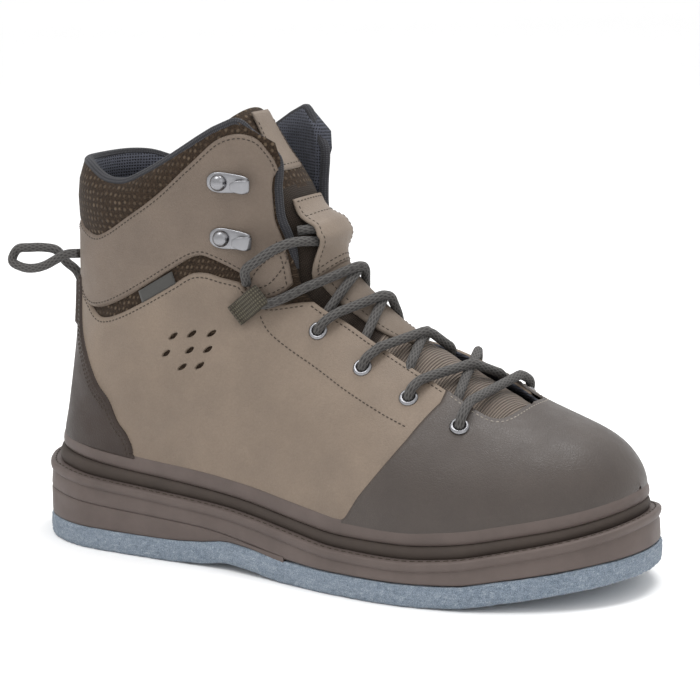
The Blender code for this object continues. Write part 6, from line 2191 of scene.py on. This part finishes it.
# ---------------------------------------------------------------- webbing
def webbing(side):
    a = surface(17.4, mirrored(17.4, 0.741, side), side)[0]
    b = surface(17.5, mirrored(17.5, 0.800, side), side)[0]
    p, u, v, n = local(17.45, 0.770, side, (b - a) * (1, side, 1))
    p = p + n * 0.3
    r, q, reach = 2.75, 1.1, 6.4
    arc = np.linspace(-math.pi / 2, math.pi / 2, 13)
    line = [(-7.4, 1.3 + q / 2), (-4.0, 1.3 + q / 2), (0.0, 1.3 + q / 2), (3.6, 1.3 + q / 2)]
    line += [(reach + (r + q / 2) * math.cos(x), 1.3 + r + q + (r + q / 2) * math.sin(x)) for x in arc]
    line += [(2.6, 1.3 + 2 * q + 3.1), (-0.8, 1.3 + 2 * q + 0.9), (-3.4, 1.3 + 2 * q), (-7.4, 1.3 + 1.55 * q)]
    line = np.array(line)
    line = curve_through(line, 0.7)
    tg = np.gradient(line, axis=0)
    tg /= np.linalg.norm(tg, axis=1)[:, None]
    nm = np.c_[-tg[:, 1], tg[:, 0]]
    cs, verts, faces, uv = 22, [], [], []
    k_ = np.concatenate([[0], np.cumsum(np.linalg.norm(np.diff(line, axis=0), axis=1))])
    for i, ((a_, h), (na, nh)) in enumerate(zip(line, nm)):
        for j in range(cs):
            ang = 2 * math.pi * j / cs
            x = 5.25 * math.copysign(abs(math.cos(ang)) ** 0.35, math.cos(ang))
            y = 0.52 * math.copysign(abs(math.sin(ang)) ** 0.7, math.sin(ang))
            verts.append(p + u * (a_ + na * y) + n * (h + nh * y) + v * x)
            uv.append((x / 10.0, k_[i] / 10.0))
    for i in range(len(line) - 1):
        for j in range(cs):
            a_, b_ = i * cs + j, i * cs + (j + 1) % cs
            faces.append((a_, b_, b_ + cs, a_ + cs))
    faces.append(tuple(range(cs - 1, -1, -1)))
    faces.append(tuple((len(line) - 1) * cs + j for j in range(cs)))
    o = put(f"webbing_{SIDE_NAME[side]}", verts, faces, WEBBING, uv)
    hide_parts(f"web_loop_{SIDE_NAME[side]}")
    h = 1.3 + 2 * q + 0.55
    box_line = np.array([p + u * x + v * y + n * h for x, y in ((-6.4, -4.2), (-2.6, -4.2), (-2.6, 4.2), (-6.4, 4.2), (-6.4, -4.2))])
    box_line = dense(box_line, 0.8)
    stitch_at(box_line, np.tile(n, (len(box_line), 1)), sink=0.1)
    return p, u, v, n


WEBS = {side: webbing(side) for side in (-1, 1)}


# ---------------------------------------------------------------- laces
def lace_piece(name, points, nodes=(), sides=14):
    path = curve_through(points, 1.1)
    v, f, uv = tube_mesh(path, CORD / 2 - 0.05, sides)
    obj = put(name, v, f, LACE, uv, weld=False)
    for node in nodes:
        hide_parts(node)
    return path


def into_eye(side, number):
    """The eyelet's centre and its normal, for carrying a lace down through it."""
    p, u, v, n = EYES[(side, number)]
    return p, n


def strand_path(start, end, over, extra=0.0, n=26):
    return strand(start, end, over=over, knot=0.0, extra=extra, count=n)


for k in range(len(ANCHORS) - 1):
    (s0, t0), (s1, _) = ANCHORS[k], ANCHORS[k + 1]
    a0 = half_at(s0, t0, -1) if k else edge_y(s0, -1, -7.5)
    b0 = half_at(s0, t0, 1) if k else edge_y(s0, 1, -7.5)
    s_end = s1 + (0.55 if k else 0.35)
    for label, (start, end), over, side in (
            ("near", ((s0, a0), (s_end, edge_y(s_end, 1, 2.6))), CORD * 0.86, -1),
            ("far", ((s0, b0), (s_end, edge_y(s_end, -1, 2.6))), 0.0, 1)):
        body = strand_path(start, end, over)
        if k:
            p, n = into_eye(side, k)
            head = [p - n * 1.6, p + n * 1.2]
            body = body[2:]
            first = p + n * 3.1 + (body[0] - p) * 0.35
            pts = head + [first] + list(body)
        else:
            p, u, v, n = WEBS[side]
            hole = p + u * 6.4 + n * 5.15
            across_dir = v if (v @ (body[3] - hole)) > 0 else -v
            pts = [hole - across_dir * 3.0, hole + across_dir * 3.5] + list(body[4:])
        tail_dir = body[-1] - body[-3]
        tail_dir /= np.linalg.norm(tail_dir)
        f, d = axis_of(s_end)
        inward = np.array([-d[0], 0.0, -d[1]])
        pts += [body[-1] + tail_dir * 3.0 + inward * 1.6, body[-1] + tail_dir * 5.0 + inward * 3.4]
        lace_piece(f"lace_{label}_{k + 1}", pts, (f"lace_cross_{k + 1}",) if label == "near" else ())
s4, t4 = EYELETS[-1]
body = strand((s4, half_at(s4, t4, -1)), (s4, half_at(s4, t4, 1)), extra=OVERLAY + 0.6, count=24)
pa, na_ = into_eye(-1, 4)
pb, nb_ = into_eye(1, 4)
lace_piece("lace_low_bar", [pa - na_ * 1.6, pa + na_ * 1.2, pa + na_ * 3.0 + (body[2] - pa) * 0.3] + list(body[3:-3])
           + [pb + nb_ * 3.0 + (body[-3] - pb) * 0.3, pb + nb_ * 1.2, pb - nb_ * 1.6], ("lace_bar",))


def free_cord(name, pts, diameter, node):
    """A loose end as a round tube with its own line."""
    pts = np.array(pts, float)
    if "end" in name:
        w_ = smoothstep(26.0 - np.abs(pts[:, 1]), 0.0, 12.0)
        w_[0] = 0.0
        pts = pts + w_[:, None] * np.array([-2.2, 0.0, -1.0])
    path = dense(curve_through(pts, 1.0), 1.0)
    v, f, uv = tube_mesh(path, diameter / 2, 14)
    obj = put(name, v, f, LACE, uv, weld=False)
    line_m = lift_off(path)
    length = float(np.linalg.norm(np.diff(line_m, axis=0), axis=1).sum())
    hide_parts(node)
    return length


CORD_LENGTHS = {
    "lace_loop_lat": free_cord("lace_end_lat", through(LACE_LOOP, 8.0), CORD, "lace_loop_lat"),
    "lace_loop_med": free_cord("lace_end_med", through(LACE_LOOP_2, 8.0), CORD, "lace_loop_med"),
    "pull_loop": free_cord("heel_pull", through(PULL_LOOP, 8.0), LOOP_CORD, "pull_loop"),
}
print("cord lengths", {k: round(v, 4) for k, v in CORD_LENGTHS.items()})

# folded leather tab that holds the pull loop
pts, faces = [], []
for side in (-1, 1):
    st = np.array([(s, t) for s in np.linspace(21.1, 22.2, 14) for t in np.linspace(0, 0.09, 12)])
    i = np.repeat(np.arange(14), 12)
    j = np.tile(np.arange(12), 14)
    d = np.minimum(np.minimum(i, 13 - i), 11 - j)
    lift = 2.4 + 1.5 * np.sqrt(1 - (1 - np.clip(d / 2.0, 0, 1)) ** 2)
    p, n = skin(side, st[:, 0], st[:, 1], 0.0)
    start = len(pts)
    pts += list(p + n * lift[:, None]) + list(p + n * 2.0)
    faces += grid(14, 12, start)
    faces += [f[::-1] for f in grid(14, 12, start + 168)]
    loop = list(range(12)) + [r * 12 + 11 for r in range(1, 14)] + [13 * 12 + c for c in range(10, -1, -1)]
    for a, b in zip(loop[:-1], loop[1:]):
        faces.append((start + a, start + b, start + b + 168, start + a + 168))
tab = put("heel_tab", pts, faces, COUNTER, None)
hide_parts("back_tab")

for kind, mat in (("dark", STITCH), ("grey", STITCH_2)):
    v, f = STITCHES[kind]
    per_v, per_f, most = 20, 17, 2600
    for part in range(0, len(v) // per_v, most):
        stop = min(part + most, len(v) // per_v)
        vv = np.array(v[part * per_v:stop * per_v])
        ff = [tuple(i - part * per_v for i in q) for q in f[part * per_f:stop * per_f]]
        put(f"stitches_{kind}_{part // most + 1}", vv, ff, mat, None, weld=False)

total = 0
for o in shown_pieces():
    if o.type == "MESH":
        o.data.calc_loop_triangles()
        total += len(o.data.loop_triangles)
print("triangles", total)
low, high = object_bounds()
